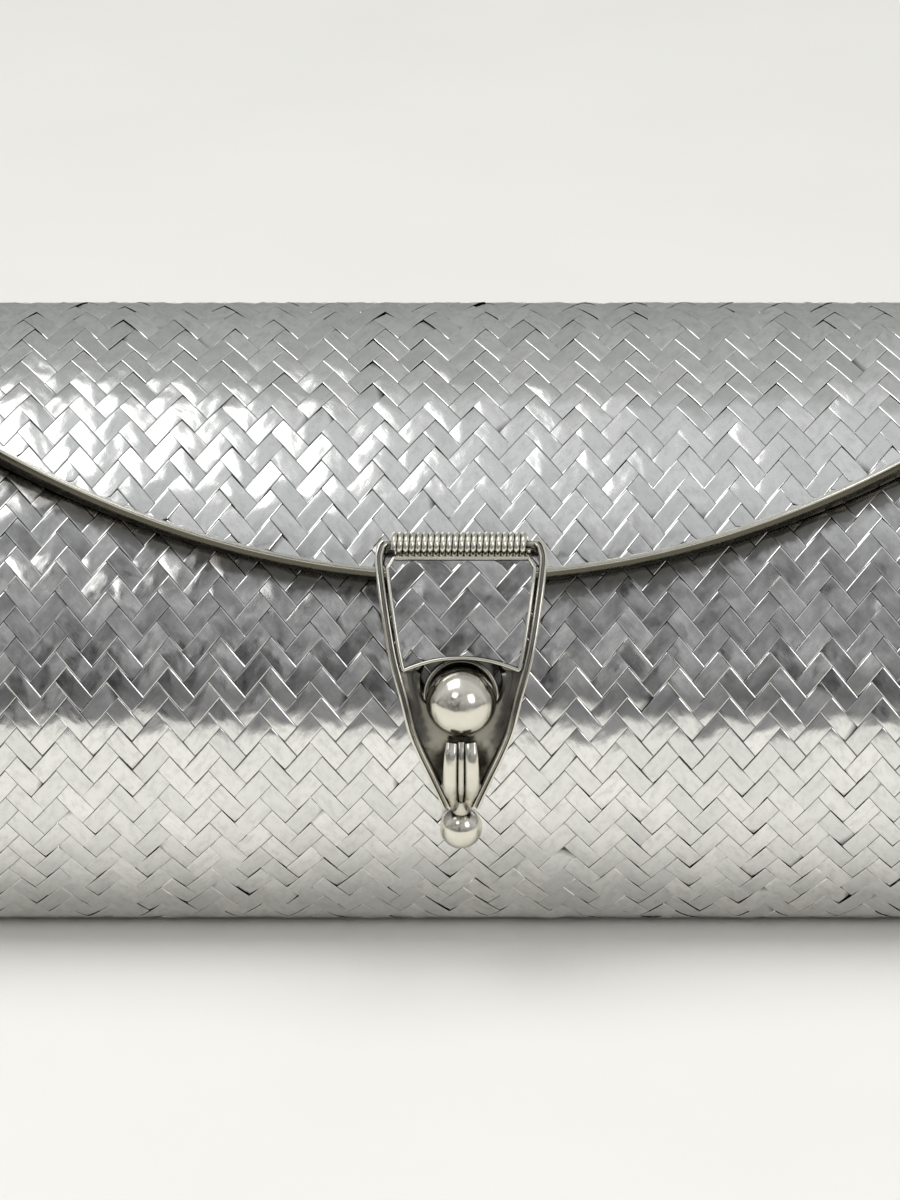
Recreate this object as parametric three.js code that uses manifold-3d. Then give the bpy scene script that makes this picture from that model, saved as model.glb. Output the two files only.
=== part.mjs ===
// Woven silver purse: a D-section body bound with plain bands, a hooded flap hinged along the top
// of the back, and a bail clasp that closes over a ball stud. Millimetres and degrees, +Z up, the
// front faces -Y, origin at the centre of the flat base.

import * as THREE from 'three';
import Module from 'manifold-3d';
import { mergeVertices } from 'three/addons/utils/BufferGeometryUtils.js';

const wasm = await Module();
wasm.setup();

// Driving dimensions of the body
const width = 200;
const wall = 1.2;
const gap = 0.3;
const bandWidth = 3;
const bandDepth = 2.2;
const panelDome = 3;

// The section is a chain of tangent arcs from the front edge of the base, up the front, over the
// top and down the back. Each arc ends where its outward normal has risen to the angle given:
// 0 faces the front, 90 faces up, 180 faces the back.
const baseCornerRadius = 10;
const bellyRadius = 48;
const shoulderRadius = 60;
const slopeRadius = 116;
const crownRadius = 26;
const backTopRadius = 8;
const backBottomRadius = 14;
const bellyAngle = -40;
const shoulderAngle = 20;
const slopeAngle = 60;
const crownAngle = 66;
const backLeanAngle = 6;

// Mouth, cut into the top under the flap
const mouthInset = 9;
const mouthOverlap = 14;
const mouthBack = 3;
const mouthBandWidth = 2.5;
const mouthBandProud = 0.5;

// Flap: a sheet held off the body by its rim
const flapReach = 53.7;
const flapSideReach = 16.5;
const flapCorner = 6;
const flapLift = 2.5;
const flapRearAngle = 140;
const rimThickness = 1;
const rimFoot = 0.4;
const rimProud = 0.3;

// Hinge along the top of the back
const hingeAngle = 160;
const hingeStandOff = 3.1;
const hingeInset = 20;
const knuckleCount = 5;
const knuckleRadius = 2;
const knuckleBore = 1.2;
const pinRadius = 0.85;
const leafThickness = 1.2;
const leafHeight = 6;
const swingClearance = 0.4;

// Clasp: the coil on the flap, the bail that turns in it, and the ball stud on the body
const coilInset = 4.7;
const coilRadius = 2.2;
const coilBore = 1.2;
const coilTurns = 22;
const coilPitch = 1.02;
const coilGroove = 0.3;
const rodRadius = 0.8;
const bailHalf = 12.9;
const bailLength = 47.15;
const ballShare = 0.473;
const thumbShare = 0.871;
const bailLiftAtBall = 7.6;
const bailLiftAtThumb = 6.2;
const railWidth = 1.3;
const railInner = 1.6;
const railOuter = 1.4;
const thumbRadius = 3.4;
const neckRadius = 1.5;
const panelTop = 2.75;
const panelShoulder = 4.4;
const panelChamfer = 1;
const panelBottom = 20.2;
const panelArch = 1.9;
const panelSink = 0.2;
const catchWidth = 5.2;
const catchGroove = 0.5;
const catchPinch = 0.3;
const ballRadius = 5.55;
const ballStandOff = 8.1;
const collarRadius = 6;
const collarThickness = 1.2;
const postRadius = 2.2;

// Rail of the bail: half width and distance down from the coil, as shares of bailHalf and bailLength
const railRows = [
  { half: 0.935, down: 0 },
  { half: 0.985, down: 0.022 },
  { half: 1.0, down: 0.093 },
  { half: 0.857, down: 0.357 },
  { half: 0.69, down: 0.533 },
  { half: 0.605, down: 0.629 },
  { half: 0.488, down: 0.71 },
  { half: 0.345, down: 0.789 },
  { half: 0.221, down: 0.857 },
  { half: 0.1, down: 0.91 },
];

// Side profile of the catch: distance down the bail as a share of bailLength, and the heights of its
// back and front faces above the bail's middle surface as shares of catchHeight
const catchHeight = 5.5;
const catchRows = [
  { down: 0.65, back: 0.64, front: 0.82 },
  { down: 0.685, back: 0.73, front: 0.97 },
  { down: 0.74, back: 0.75, front: 1.0 },
  { down: 0.8, back: 0.58, front: 0.86 },
  { down: 0.86, back: 0.2, front: 0.5 },
  { down: 0.92, back: -0.2, front: 0.18 },
];

const radians = THREE.MathUtils.degToRad;

// Solids from vertices and triangles

function closedBody(vertices, triangles) {
  const geometry = new THREE.BufferGeometry();
  let volume = 0;
  for (const [a, b, c] of triangles) {
    volume += vertices[a].dot(new THREE.Vector3().crossVectors(vertices[b], vertices[c]));
  }
  const turned = volume < 0 ? triangles.map(([a, b, c]) => [a, c, b]) : triangles;
  geometry.setAttribute('position', new THREE.Float32BufferAttribute(vertices.flatMap((v) => v.toArray()), 3));
  geometry.setIndex(turned.flat());
  return geometry;
}

// A sheet between two grids of points, closed along its four edges
function closedSheet(outer, inner) {
  const rows = outer.length;
  const columns = outer[0].length;
  const vertices = [...outer.flat(), ...inner.flat()];
  const top = (i, j) => i * columns + j;
  const under = (i, j) => rows * columns + i * columns + j;
  const triangles = [];
  const quad = (a, b, c, d) => triangles.push([a, b, c], [a, c, d]);
  for (let i = 0; i + 1 < rows; i += 1) {
    for (let j = 0; j + 1 < columns; j += 1) {
      quad(top(i, j), top(i + 1, j), top(i + 1, j + 1), top(i, j + 1));
      quad(under(i, j), under(i, j + 1), under(i + 1, j + 1), under(i + 1, j));
    }
    quad(top(i, 0), under(i, 0), under(i + 1, 0), top(i + 1, 0));
    quad(top(i, columns - 1), top(i + 1, columns - 1), under(i + 1, columns - 1), under(i, columns - 1));
  }
  for (let j = 0; j + 1 < columns; j += 1) {
    quad(top(0, j), top(0, j + 1), under(0, j + 1), under(0, j));
    quad(top(rows - 1, j), under(rows - 1, j), under(rows - 1, j + 1), top(rows - 1, j + 1));
  }
  return closedBody(vertices, triangles);
}

// A bar carried through rings of points, with its two ends closed
function closedBar(rings) {
  const sides = rings[0].length;
  const vertices = rings.flat();
  const triangles = [];
  for (let i = 0; i + 1 < rings.length; i += 1) {
    for (let j = 0; j < sides; j += 1) {
      const next = (j + 1) % sides;
      const a = i * sides + j;
      const b = i * sides + next;
      triangles.push([a, b, b + sides], [a, b + sides, a + sides]);
    }
  }
  const last = (rings.length - 1) * sides;
  for (let j = 1; j + 1 < sides; j += 1) {
    triangles.push([0, j + 1, j], [last, last + j, last + j + 1]);
  }
  return closedBody(vertices, triangles);
}

function solidOf(geometry) {
  const bare = geometry.clone();
  bare.deleteAttribute('normal');
  bare.deleteAttribute('uv');
  const merged = mergeVertices(bare, 1e-4);
  return new wasm.Manifold(new wasm.Mesh({
    numProp: 3,
    vertProperties: new Float32Array(merged.attributes.position.array),
    triVerts: new Uint32Array(merged.index.array),
  }));
}

function geometryOf(solid) {
  const mesh = solid.getMesh();
  const geometry = new THREE.BufferGeometry();
  geometry.setAttribute('position', new THREE.Float32BufferAttribute(mesh.vertProperties, 3));
  geometry.setIndex(Array.from(mesh.triVerts));
  return geometry;
}

function joined(geometries) {
  return geometries.map(solidOf).reduce((all, next) => all.add(next));
}

function cylinderAlongX(radius, x0, x1, centre, sides) {
  const geometry = new THREE.CylinderGeometry(radius, radius, x1 - x0, sides);
  geometry.rotateZ(Math.PI / 2);
  geometry.translate((x0 + x1) / 2, centre.y, centre.z);
  return geometry;
}

// A lathe turned about X: the profile holds points of radius and place along X
function latheAlongX(profile, centre, sides) {
  const geometry = new THREE.LatheGeometry(profile, sides);
  geometry.rotateZ(-Math.PI / 2);
  geometry.translate(0, centre.y, centre.z);
  return geometry;
}

// The body's section

function sectionArcs() {
  const rows = [
    { radius: baseCornerRadius, from: -90, to: bellyAngle, steps: 4 },
    { radius: bellyRadius, from: bellyAngle, to: shoulderAngle, steps: 12 },
    { radius: shoulderRadius, from: shoulderAngle, to: slopeAngle, steps: 9 },
    { radius: slopeRadius, from: slopeAngle, to: crownAngle, steps: 2 },
    { radius: crownRadius, from: crownAngle, to: 90, steps: 5 },
    { radius: backTopRadius, from: 90, to: 180 - backLeanAngle, steps: 7 },
    { radius: 0, from: 180 - backLeanAngle, to: 180 + backLeanAngle, steps: 3 },
    { radius: backBottomRadius, from: 180 + backLeanAngle, to: 270, steps: 6 },
  ];
  const rise = ({ radius, from, to }) => radius * (Math.sin(radians(to)) - Math.sin(radians(from)));
  const backDrop = rows.reduce((sum, row) => sum + rise(row), 0);
  rows[6].radius = backDrop / (2 * Math.sin(radians(backLeanAngle)));
  let y = 0;
  let z = 0;
  let start = 0;
  const arcs = rows.map((row) => {
    const from = radians(row.from);
    const to = radians(row.to);
    const centreY = y + row.radius * Math.cos(from);
    const centreZ = z - row.radius * Math.sin(from);
    y = centreY - row.radius * Math.cos(to);
    z = centreZ + row.radius * Math.sin(to);
    const length = row.radius * (to - from);
    const arc = { ...row, from, to, centreY, centreZ, start, length };
    start += length;
    return arc;
  });
  for (const arc of arcs) {
    arc.centreY -= y / 2;
  }
  return arcs;
}

const section = sectionArcs();
const backTopArc = section[5];
const topLength = backTopArc.start;

function onArc(arc, angle, offset) {
  const reach = arc.radius + offset;
  return { y: arc.centreY - reach * Math.cos(angle), z: arc.centreZ + reach * Math.sin(angle) };
}

// The arc and the angle at a distance forward of the top line, measured along the section
function placeOnSection(forward) {
  const length = topLength - forward;
  const arc = section.find((row) => length <= row.start + row.length) ?? section[section.length - 1];
  return { arc, angle: arc.from + (length - arc.start) / arc.radius };
}

function onSection(forward, offset) {
  const { arc, angle } = placeOnSection(forward);
  return onArc(arc, angle, offset);
}

const behindTop = (angle) => -backTopRadius * radians(angle - 90);

function sectionLoop(offset) {
  const points = [];
  for (const arc of section) {
    for (let i = 0; i < arc.steps; i += 1) {
      const at = onArc(arc, arc.from + ((arc.to - arc.from) * i) / arc.steps, offset);
      points.push(new THREE.Vector2(at.y, at.z));
    }
  }
  const last = section[section.length - 1];
  const end = onArc(last, last.to, offset);
  points.push(new THREE.Vector2(end.y, end.z));
  return points.reverse();
}

// A shape drawn in the YZ plane, extruded along X
function prismAlongX(outline, hole, x0, x1) {
  const shape = new THREE.Shape(outline);
  if (hole) {
    shape.holes.push(new THREE.Path(hole));
  }
  const geometry = new THREE.ExtrudeGeometry(shape, { depth: x1 - x0, bevelEnabled: false });
  const cycle = new THREE.Matrix4().makeBasis(
    new THREE.Vector3(0, 1, 0),
    new THREE.Vector3(0, 0, 1),
    new THREE.Vector3(1, 0, 0),
  );
  geometry.applyMatrix4(cycle);
  geometry.translate(x0, 0, 0);
  return geometry;
}

// The flap's edge and the mouth's lip are arcs about one centre on the unrolled sheet

const flapDrop = flapReach - flapSideReach;
const flapEdgeRadius = ((width / 2 - bandWidth) ** 2 + flapDrop ** 2) / (2 * flapDrop);

function edgeForward(x, inset) {
  return flapReach - flapEdgeRadius + Math.sqrt((flapEdgeRadius - inset) ** 2 - x ** 2);
}

function mouthOutline(grow) {
  const half = width / 2 - bandWidth - mouthInset + grow;
  const steps = 28;
  const points = [];
  for (let i = 0; i <= steps; i += 1) {
    const x = -half + (2 * half * i) / steps;
    points.push(new THREE.Vector2(x, onSection(edgeForward(x, mouthOverlap - grow), 0).y));
  }
  const back = onSection(0, 0).y + mouthBack + grow;
  points.push(new THREE.Vector2(half, back), new THREE.Vector2(-half, back));
  return points;
}

function mouthPrism(outer, inner) {
  const shape = new THREE.Shape(outer);
  if (inner) {
    shape.holes.push(new THREE.Path(inner));
  }
  const topHeight = onSection(0, 0).z;
  const geometry = new THREE.ExtrudeGeometry(shape, { depth: topHeight, bevelEnabled: false });
  geometry.translate(0, 0, topHeight * 0.65);
  return geometry;
}

function bodyWrap() {
  const half = width / 2 - bandWidth - gap;
  const sheet = solidOf(prismAlongX(sectionLoop(0), sectionLoop(-wall), -half, half));
  const mouth = solidOf(mouthPrism(mouthOutline(mouthBandWidth + gap)));
  return geometryOf(sheet.subtract(mouth));
}

function mouthBand() {
  const half = width / 2;
  const low = -wall - mouthBandProud;
  const skin = solidOf(prismAlongX(sectionLoop(mouthBandProud), sectionLoop(low), -half, half));
  const ring = solidOf(mouthPrism(mouthOutline(mouthBandWidth), mouthOutline(0)));
  return geometryOf(skin.intersect(ring));
}

function endBand(side) {
  const inner = side * (width / 2 - bandWidth);
  const outer = side * (width / 2);
  const hole = sectionLoop(-bandDepth);
  return prismAlongX(sectionLoop(0), hole, Math.min(inner, outer), Math.max(inner, outer));
}

// A plate inside the end band, domed outwards
function endPanel(side) {
  const outline = sectionLoop(-bandDepth - gap);
  const centre = new THREE.Vector2(0, onSection(0, 0).z / 2);
  const shares = [1, 0.8, 0.5, 0.2];
  const face = (lift) => shares.map((share) => outline.map((point) => {
    const at = centre.clone().lerp(point, share);
    const x = width / 2 - bandWidth + lift + panelDome * (1 - share ** 2);
    return new THREE.Vector3(side * x, at.x, at.y);
  }));
  const outer = face(wall);
  const inner = face(0);
  return closedBar([...inner.reverse(), ...outer]);
}

// The flap

function flapPath(inset) {
  const half = width / 2 - bandWidth - inset;
  const rear = behindTop(flapRearAngle);
  const side = new THREE.Vector2(half, edgeForward(half, inset) - flapCorner);
  const corner = new THREE.Vector2(half, edgeForward(half, inset));
  const meet = new THREE.Vector2(half - flapCorner, edgeForward(half - flapCorner, inset));
  const sideSteps = 7;
  const cornerSteps = 4;
  const arcSteps = 18;
  const right = [];
  for (let i = 0; i < arcSteps; i += 1) {
    const x = (meet.x * i) / arcSteps;
    right.push(new THREE.Vector2(x, edgeForward(x, inset)));
  }
  right.push(...new THREE.QuadraticBezierCurve(meet, corner, side).getPoints(cornerSteps));
  for (let i = 1; i <= sideSteps; i += 1) {
    right.push(new THREE.Vector2(half, side.y + ((rear - side.y) * i) / sideSteps));
  }
  const left = right.slice(1).reverse().map((point) => new THREE.Vector2(-point.x, point.y));
  return { points: [...left, ...right], sideSteps };
}

function onSheet(point, offset) {
  const at = onSection(point.y, offset);
  return new THREE.Vector3(point.x, at.y, at.z);
}

const flapTop = flapLift + wall;

function flapShell() {
  const { points, sideSteps } = flapPath(rimThickness + gap);
  const edge = points.slice(sideSteps, points.length - sideSteps);
  const rear = behindTop(flapRearAngle);
  const steps = 15;
  const face = (offset) => edge.map((end) => {
    const column = [];
    for (let i = 0; i <= steps; i += 1) {
      const forward = rear + (end.y - rear) * (i / steps) ** 1.3;
      column.push(onSheet(new THREE.Vector2(end.x, forward), offset));
    }
    return column;
  });
  return closedSheet(face(flapTop), face(flapLift));
}

function flapRim() {
  const outer = flapPath(0).points;
  const inner = flapPath(rimThickness).points;
  const high = flapTop + rimProud;
  return closedBar(outer.map((point, i) => [
    onSheet(point, rimFoot),
    onSheet(point, high),
    onSheet(inner[i], high),
    onSheet(inner[i], rimFoot),
  ]));
}

// The hinge

const hingeLength = width - 2 * hingeInset;
const hingeAxis = onArc(backTopArc, radians(hingeAngle), hingeStandOff);

function knuckleSpan(index) {
  const pitch = hingeLength / knuckleCount;
  const start = -hingeLength / 2 + index * pitch;
  return { x0: start + gap / 2, x1: start + pitch - gap / 2, room0: start - gap / 2, room1: start + pitch + gap / 2 };
}

function knuckle({ x0, x1 }) {
  const profile = [
    new THREE.Vector2(knuckleBore, x0),
    new THREE.Vector2(knuckleRadius, x0),
    new THREE.Vector2(knuckleRadius, x1),
    new THREE.Vector2(knuckleBore, x1),
    new THREE.Vector2(knuckleBore, x0),
  ];
  return latheAlongX(profile, hingeAxis, 16);
}

// A strip that follows the sheet between two distances forward of the top line
function leaf(forward0, forward1, low) {
  const steps = 6;
  const face = (offset) => [-hingeLength / 2 + gap, hingeLength / 2 - gap].map((x) => {
    const row = [];
    for (let i = 0; i <= steps; i += 1) {
      const forward = forward0 + ((forward1 - forward0) * i) / steps;
      row.push(onSheet(new THREE.Vector2(x, forward), offset));
    }
    return row;
  });
  return closedSheet(face(low + leafThickness), face(low));
}

// A leaf with every second knuckle, cleared for the knuckles between them and for the pin
function hingeHalf(leafGeometry, first) {
  let solid = solidOf(leafGeometry);
  for (let i = 0; i < knuckleCount; i += 1) {
    const { room0, room1 } = knuckleSpan(i);
    const cleared = i % 2 === first ? knuckleBore : knuckleRadius + swingClearance;
    solid = solid.subtract(solidOf(cylinderAlongX(cleared, room0, room1, hingeAxis, 16)));
  }
  for (let i = first; i < knuckleCount; i += 2) {
    solid = solid.add(solidOf(knuckle(knuckleSpan(i))));
  }
  return geometryOf(solid);
}

function bodyHinge() {
  const backEnd = behindTop(180 - backLeanAngle) - leafHeight;
  return hingeHalf(leaf(backEnd, behindTop(hingeAngle - 10), gap), 0);
}

function flapHinge() {
  const start = behindTop(flapRearAngle) - gap;
  return hingeHalf(leaf(behindTop(hingeAngle - 8), start, flapLift), 1);
}

function hingePin() {
  return cylinderAlongX(pinRadius, -hingeLength / 2 - gap, hingeLength / 2 + gap, hingeAxis, 12);
}

// The clasp. Its middle surface is part of a cylinder along X through the coil's axis, a point over
// the body beside the ball, and the thumb ball.

const coilForward = flapReach - coilInset;
const ballForward = coilForward + ballShare * bailLength;
const thumbForward = coilForward + thumbShare * bailLength;
const coilAxis = onSection(coilForward, flapTop + gap + coilRadius);
const besideBall = onSection(ballForward, bailLiftAtBall);
const thumbPoint = onSection(thumbForward, bailLiftAtThumb);

function circleThrough(a, b, c) {
  const turn = 2 * (a.y * (b.z - c.z) + b.y * (c.z - a.z) + c.y * (a.z - b.z));
  const square = (p) => p.y ** 2 + p.z ** 2;
  const y = (square(a) * (b.z - c.z) + square(b) * (c.z - a.z) + square(c) * (a.z - b.z)) / turn;
  const z = (square(a) * (c.y - b.y) + square(b) * (a.y - c.y) + square(c) * (b.y - a.y)) / turn;
  return { y, z, radius: Math.hypot(a.y - y, a.z - z) };
}

const bailCircle = circleThrough(coilAxis, besideBall, thumbPoint);
const bailStart = Math.atan2(coilAxis.z - bailCircle.z, bailCircle.y - coilAxis.y);

// A point of the bail: across, down from the coil along the middle surface, and off that surface
function onBail(x, down, lift) {
  const angle = bailStart - down / bailCircle.radius;
  const reach = bailCircle.radius + lift;
  return new THREE.Vector3(x, bailCircle.y - reach * Math.cos(angle), bailCircle.z + reach * Math.sin(angle));
}

const railCurve = new THREE.SplineCurve(
  railRows.map(({ half, down }) => new THREE.Vector2(half * bailHalf, down * bailLength)),
);

function railHalfAt(down) {
  const points = railCurve.getPoints(60);
  const after = Math.max(1, points.findIndex((point) => point.y >= down));
  const a = points[after - 1];
  const b = points[after];
  return a.x + ((b.x - a.x) * (down - a.y)) / (b.y - a.y);
}

function coilBarrel() {
  const half = (coilTurns * coilPitch) / 2;
  const profile = [new THREE.Vector2(coilBore, -half)];
  for (let i = 0; i < coilTurns; i += 1) {
    const x = -half + i * coilPitch;
    profile.push(new THREE.Vector2(coilRadius - coilGroove, x));
    profile.push(new THREE.Vector2(coilRadius, x + coilPitch / 2));
  }
  profile.push(new THREE.Vector2(coilRadius - coilGroove, half));
  profile.push(new THREE.Vector2(coilBore, half));
  profile.push(new THREE.Vector2(coilBore, -half));
  return latheAlongX(profile, coilAxis, 14);
}

function bailRail(side) {
  const steps = 26;
  const rings = [];
  for (let i = 0; i <= steps; i += 1) {
    const at = railCurve.getPoint(i / steps);
    const along = railCurve.getTangent(i / steps);
    const across = new THREE.Vector2(along.y, -along.x).multiplyScalar(railWidth / 2);
    const ring = [[1, -railInner], [1, railOuter], [-1, railOuter], [-1, -railInner]].map(([way, lift]) => {
      const point = at.clone().addScaledVector(across, way);
      return onBail(side * point.x, point.y, lift);
    });
    rings.push(ring);
  }
  return closedBar(rings);
}

// One rib of the catch, between two places across; the ribs draw together towards the thumb ball
function catchRib(x0, x1, sink) {
  const pinched = (x, down) => x * (1 - catchPinch * THREE.MathUtils.smoothstep(down, 0.8, 0.9));
  return closedBar(catchRows.map(({ down, back, front }) => {
    const place = down * bailLength;
    const low = back * catchHeight;
    const high = front * catchHeight - sink;
    return [
      onBail(pinched(x0, down), place, low),
      onBail(pinched(x1, down), place, low),
      onBail(pinched(x1, down), place, high),
      onBail(pinched(x0, down), place, high),
    ];
  }));
}

function bailFrame() {
  const rodHalf = railRows[0].half * bailHalf + railWidth / 2;
  const rod = cylinderAlongX(rodRadius, -rodHalf, rodHalf, coilAxis, 12);
  const inner = catchWidth * 0.11;
  const ribs = [
    catchRib(-catchWidth / 2, -inner, 0),
    catchRib(-inner - gap, inner + gap, catchGroove),
    catchRib(inner, catchWidth / 2, 0),
  ];
  const thumb = new THREE.SphereGeometry(thumbRadius, 18, 12);
  const thumbPlace = onBail(0, bailLength, 0);
  thumb.rotateX(Math.PI / 2);
  thumb.translate(thumbPlace.x, thumbPlace.y, thumbPlace.z);
  const neckTop = onBail(0, bailLength - thumbRadius * 1.75, 0);
  const neck = new THREE.CylinderGeometry(neckRadius, neckRadius, neckTop.distanceTo(thumbPlace), 10);
  const turn = new THREE.Quaternion().setFromUnitVectors(
    new THREE.Vector3(0, 1, 0),
    neckTop.clone().sub(thumbPlace).normalize(),
  );
  neck.applyQuaternion(turn);
  const middle = neckTop.clone().add(thumbPlace).multiplyScalar(0.5);
  neck.translate(middle.x, middle.y, middle.z);
  return geometryOf(joined([bailRail(-1), bailRail(1), rod, ...ribs, neck, thumb]));
}

function bailPanel() {
  const shoulderHalf = railHalfAt(panelShoulder) - railWidth / 2 - gap;
  const halfAt = (down) => {
    if (down < panelShoulder) {
      return shoulderHalf - (panelChamfer * (panelShoulder - down)) / (panelShoulder - panelTop);
    }
    return railHalfAt(down) - railWidth / 2 - gap;
  };
  const shares = [-1, -0.75, -0.5, -0.25, 0, 0.25, 0.5, 0.75, 1];
  const rowShares = [0, 0.095, 0.3, 0.5, 0.75, 1];
  const face = (lift) => shares.map((across) => rowShares.map((share) => {
    const bottom = panelBottom - panelArch * (1 - across ** 2);
    const down = panelTop + (bottom - panelTop) * share;
    return onBail(across * halfAt(down), down, lift);
  }));
  return closedSheet(face(panelSink + wall), face(panelSink));
}

// The ball, its post and its collar, one soldered stud, turned about the body's normal
function ballStud() {
  const ballHeight = ballStandOff - gap;
  const postTop = ballHeight - Math.sqrt(ballRadius ** 2 - postRadius ** 2);
  const profile = [
    new THREE.Vector2(0, 0),
    new THREE.Vector2(collarRadius - 0.4, 0),
    new THREE.Vector2(collarRadius, 0.4),
    new THREE.Vector2(collarRadius, collarThickness - 0.3),
    new THREE.Vector2(collarRadius - 0.6, collarThickness),
    new THREE.Vector2(postRadius, collarThickness),
    new THREE.Vector2(postRadius, postTop),
  ];
  const steps = 12;
  const start = Math.asin(postRadius / ballRadius);
  for (let i = 1; i < steps; i += 1) {
    const angle = start + ((Math.PI - start) * i) / steps;
    profile.push(new THREE.Vector2(
      ballRadius * Math.sin(angle),
      ballHeight - ballRadius * Math.cos(angle),
    ));
  }
  profile.push(new THREE.Vector2(0, ballHeight + ballRadius));
  return new THREE.LatheGeometry(profile, 24);
}

// Finishes

function silver(color, roughness) {
  return new THREE.MeshStandardMaterial({ color, roughness, metalness: 1 });
}

function piece(name, geometry, material) {
  const mesh = new THREE.Mesh(geometry, material);
  mesh.name = name;
  return mesh;
}

const wovenSilver = () => silver(0xc6c7c4, 0.24);
const polishedSilver = () => silver(0xd6d4cc, 0.14);
const claspSilver = () => silver(0xcbc5b4, 0.1);

const body = new THREE.Group();
body.add(piece('body_wrap', bodyWrap(), wovenSilver()));
for (const [name, side] of [['left', -1], ['right', 1]]) {
  body.add(piece(`end_panel_${name}`, endPanel(side), wovenSilver()));
  body.add(piece(`end_band_${name}`, endBand(side), polishedSilver()));
}
body.add(piece('mouth_band', mouthBand(), polishedSilver()));
body.add(piece('body_hinge', bodyHinge(), polishedSilver()));
body.add(piece('hinge_pin', hingePin(), polishedSilver()));

const stud = piece('ball_stud', ballStud(), claspSilver());
const studBase = onSection(ballForward, gap);
stud.position.set(0, studBase.y, studBase.z);
stud.rotation.x = Math.PI - placeOnSection(ballForward).angle;
body.add(stud);

const flap = new THREE.Group();
flap.add(piece('flap_shell', flapShell(), wovenSilver()));
flap.add(piece('flap_rim', flapRim(), polishedSilver()));
flap.add(piece('flap_hinge', flapHinge(), polishedSilver()));
flap.add(piece('coil_barrel', coilBarrel(), claspSilver()));

const bail = new THREE.Group();
bail.add(piece('bail_frame', bailFrame(), claspSilver()));
bail.add(piece('bail_panel', bailPanel(), wovenSilver()));
flap.add(bail);

const purse = new THREE.Group();
purse.add(body, flap);

export default purse;
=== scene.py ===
"""A woven silver purse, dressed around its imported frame: real over-and-under ribbons on every woven
sheet, polished bands, a wound coil and the bail clasp, standing on a pale table under soft light.

Lengths are millimetres on the way and become metres when a mesh is made. The front faces -Y."""

import math

import bpy
import numpy as np
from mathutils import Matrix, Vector


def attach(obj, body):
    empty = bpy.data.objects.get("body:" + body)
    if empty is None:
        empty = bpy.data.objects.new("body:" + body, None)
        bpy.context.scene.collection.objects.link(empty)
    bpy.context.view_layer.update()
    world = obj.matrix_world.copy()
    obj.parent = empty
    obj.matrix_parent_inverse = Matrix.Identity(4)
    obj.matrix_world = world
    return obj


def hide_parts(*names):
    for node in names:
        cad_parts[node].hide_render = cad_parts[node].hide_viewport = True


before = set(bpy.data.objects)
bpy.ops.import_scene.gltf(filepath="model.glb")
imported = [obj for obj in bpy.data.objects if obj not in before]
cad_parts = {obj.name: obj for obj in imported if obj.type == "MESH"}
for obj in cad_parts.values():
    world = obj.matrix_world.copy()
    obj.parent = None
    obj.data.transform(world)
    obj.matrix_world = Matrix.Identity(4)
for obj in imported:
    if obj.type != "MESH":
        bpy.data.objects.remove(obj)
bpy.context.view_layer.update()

MM = 0.001

# Body, as the frame has it
WIDTH = 200.0
WALL = 1.2
GAP = 0.3
BAND_WIDTH = 3.0
BAND_DEPTH = 2.2
BAND_ROUNDING = 0.55
PANEL_DOME = 3.0
BACK_LEAN = 6.0

# The section's tangent arcs: radius and the angles of the outward normal where each starts and ends
SECTION_ROWS = (
    {"radius": 10.0, "start": -90.0, "end": -40.0},
    {"radius": 48.0, "start": -40.0, "end": 20.0},
    {"radius": 60.0, "start": 20.0, "end": 60.0},
    {"radius": 116.0, "start": 60.0, "end": 66.0},
    {"radius": 26.0, "start": 66.0, "end": 90.0},
    {"radius": 8.0, "start": 90.0, "end": 180.0 - BACK_LEAN},
    {"radius": None, "start": 180.0 - BACK_LEAN, "end": 180.0 + BACK_LEAN},
    {"radius": 14.0, "start": 180.0 + BACK_LEAN, "end": 270.0},
)
BACK_TOP_ROW = 5

# Mouth and flap
MOUTH_INSET = 9.0
MOUTH_OVERLAP = 14.0
MOUTH_BACK = 3.0
MOUTH_BAND_WIDTH = 2.5
MOUTH_BAND_PROUD = 0.5
MOUTH_BAND_ROUNDING = 0.5
FLAP_REACH = 53.7
FLAP_SIDE_REACH = 16.5
FLAP_CORNER = 6.0
FLAP_LIFT = 2.5
FLAP_TOP = FLAP_LIFT + WALL
FLAP_REAR_ANGLE = 140.0
RIM_THICKNESS = 1.0
RIM_PROUD = 0.3

# Hinge
HINGE_ANGLE = 160.0
HINGE_STAND_OFF = 3.1
HINGE_LENGTH = WIDTH - 2 * 20.0
KNUCKLES = 5
KNUCKLE_RADIUS = 2.0
KNUCKLE_BORE = 1.2

# Clasp
COIL_INSET = 4.7
COIL_RADIUS = 2.2
COIL_TURNS = 22
COIL_PITCH = 1.02
ROD_RADIUS = 0.8
BAIL_HALF = 12.9
BAIL_LENGTH = 47.15
BALL_SHARE = 0.473
THUMB_SHARE = 0.871
LIFT_AT_BALL = 7.6
LIFT_AT_THUMB = 6.2
RAIL_WIDTH = 1.3
THUMB_RADIUS = 3.4
PANEL_TOP = 2.75
PANEL_SHOULDER = 4.4
PANEL_CHAMFER = 1.0
PANEL_BOTTOM = 20.2
PANEL_ARCH = 1.9
PANEL_SINK = 0.2
CATCH_WIDTH = 5.2
CATCH_HEIGHT = 5.5
CATCH_PINCH = 0.3
BALL_RADIUS = 5.55
BALL_STAND_OFF = 8.1
COLLAR_RADIUS = 6.0
POST_RADIUS = 2.2

# Rail: half the way across and distance down, as shares of BAIL_HALF and BAIL_LENGTH
RAIL_ROWS = np.array((
    (0.935, 0.0), (0.985, 0.022), (1.0, 0.093), (0.857, 0.357), (0.69, 0.533),
    (0.605, 0.629), (0.488, 0.71), (0.355, 0.789), (0.245, 0.857), (0.175, 0.905),
))

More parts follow.
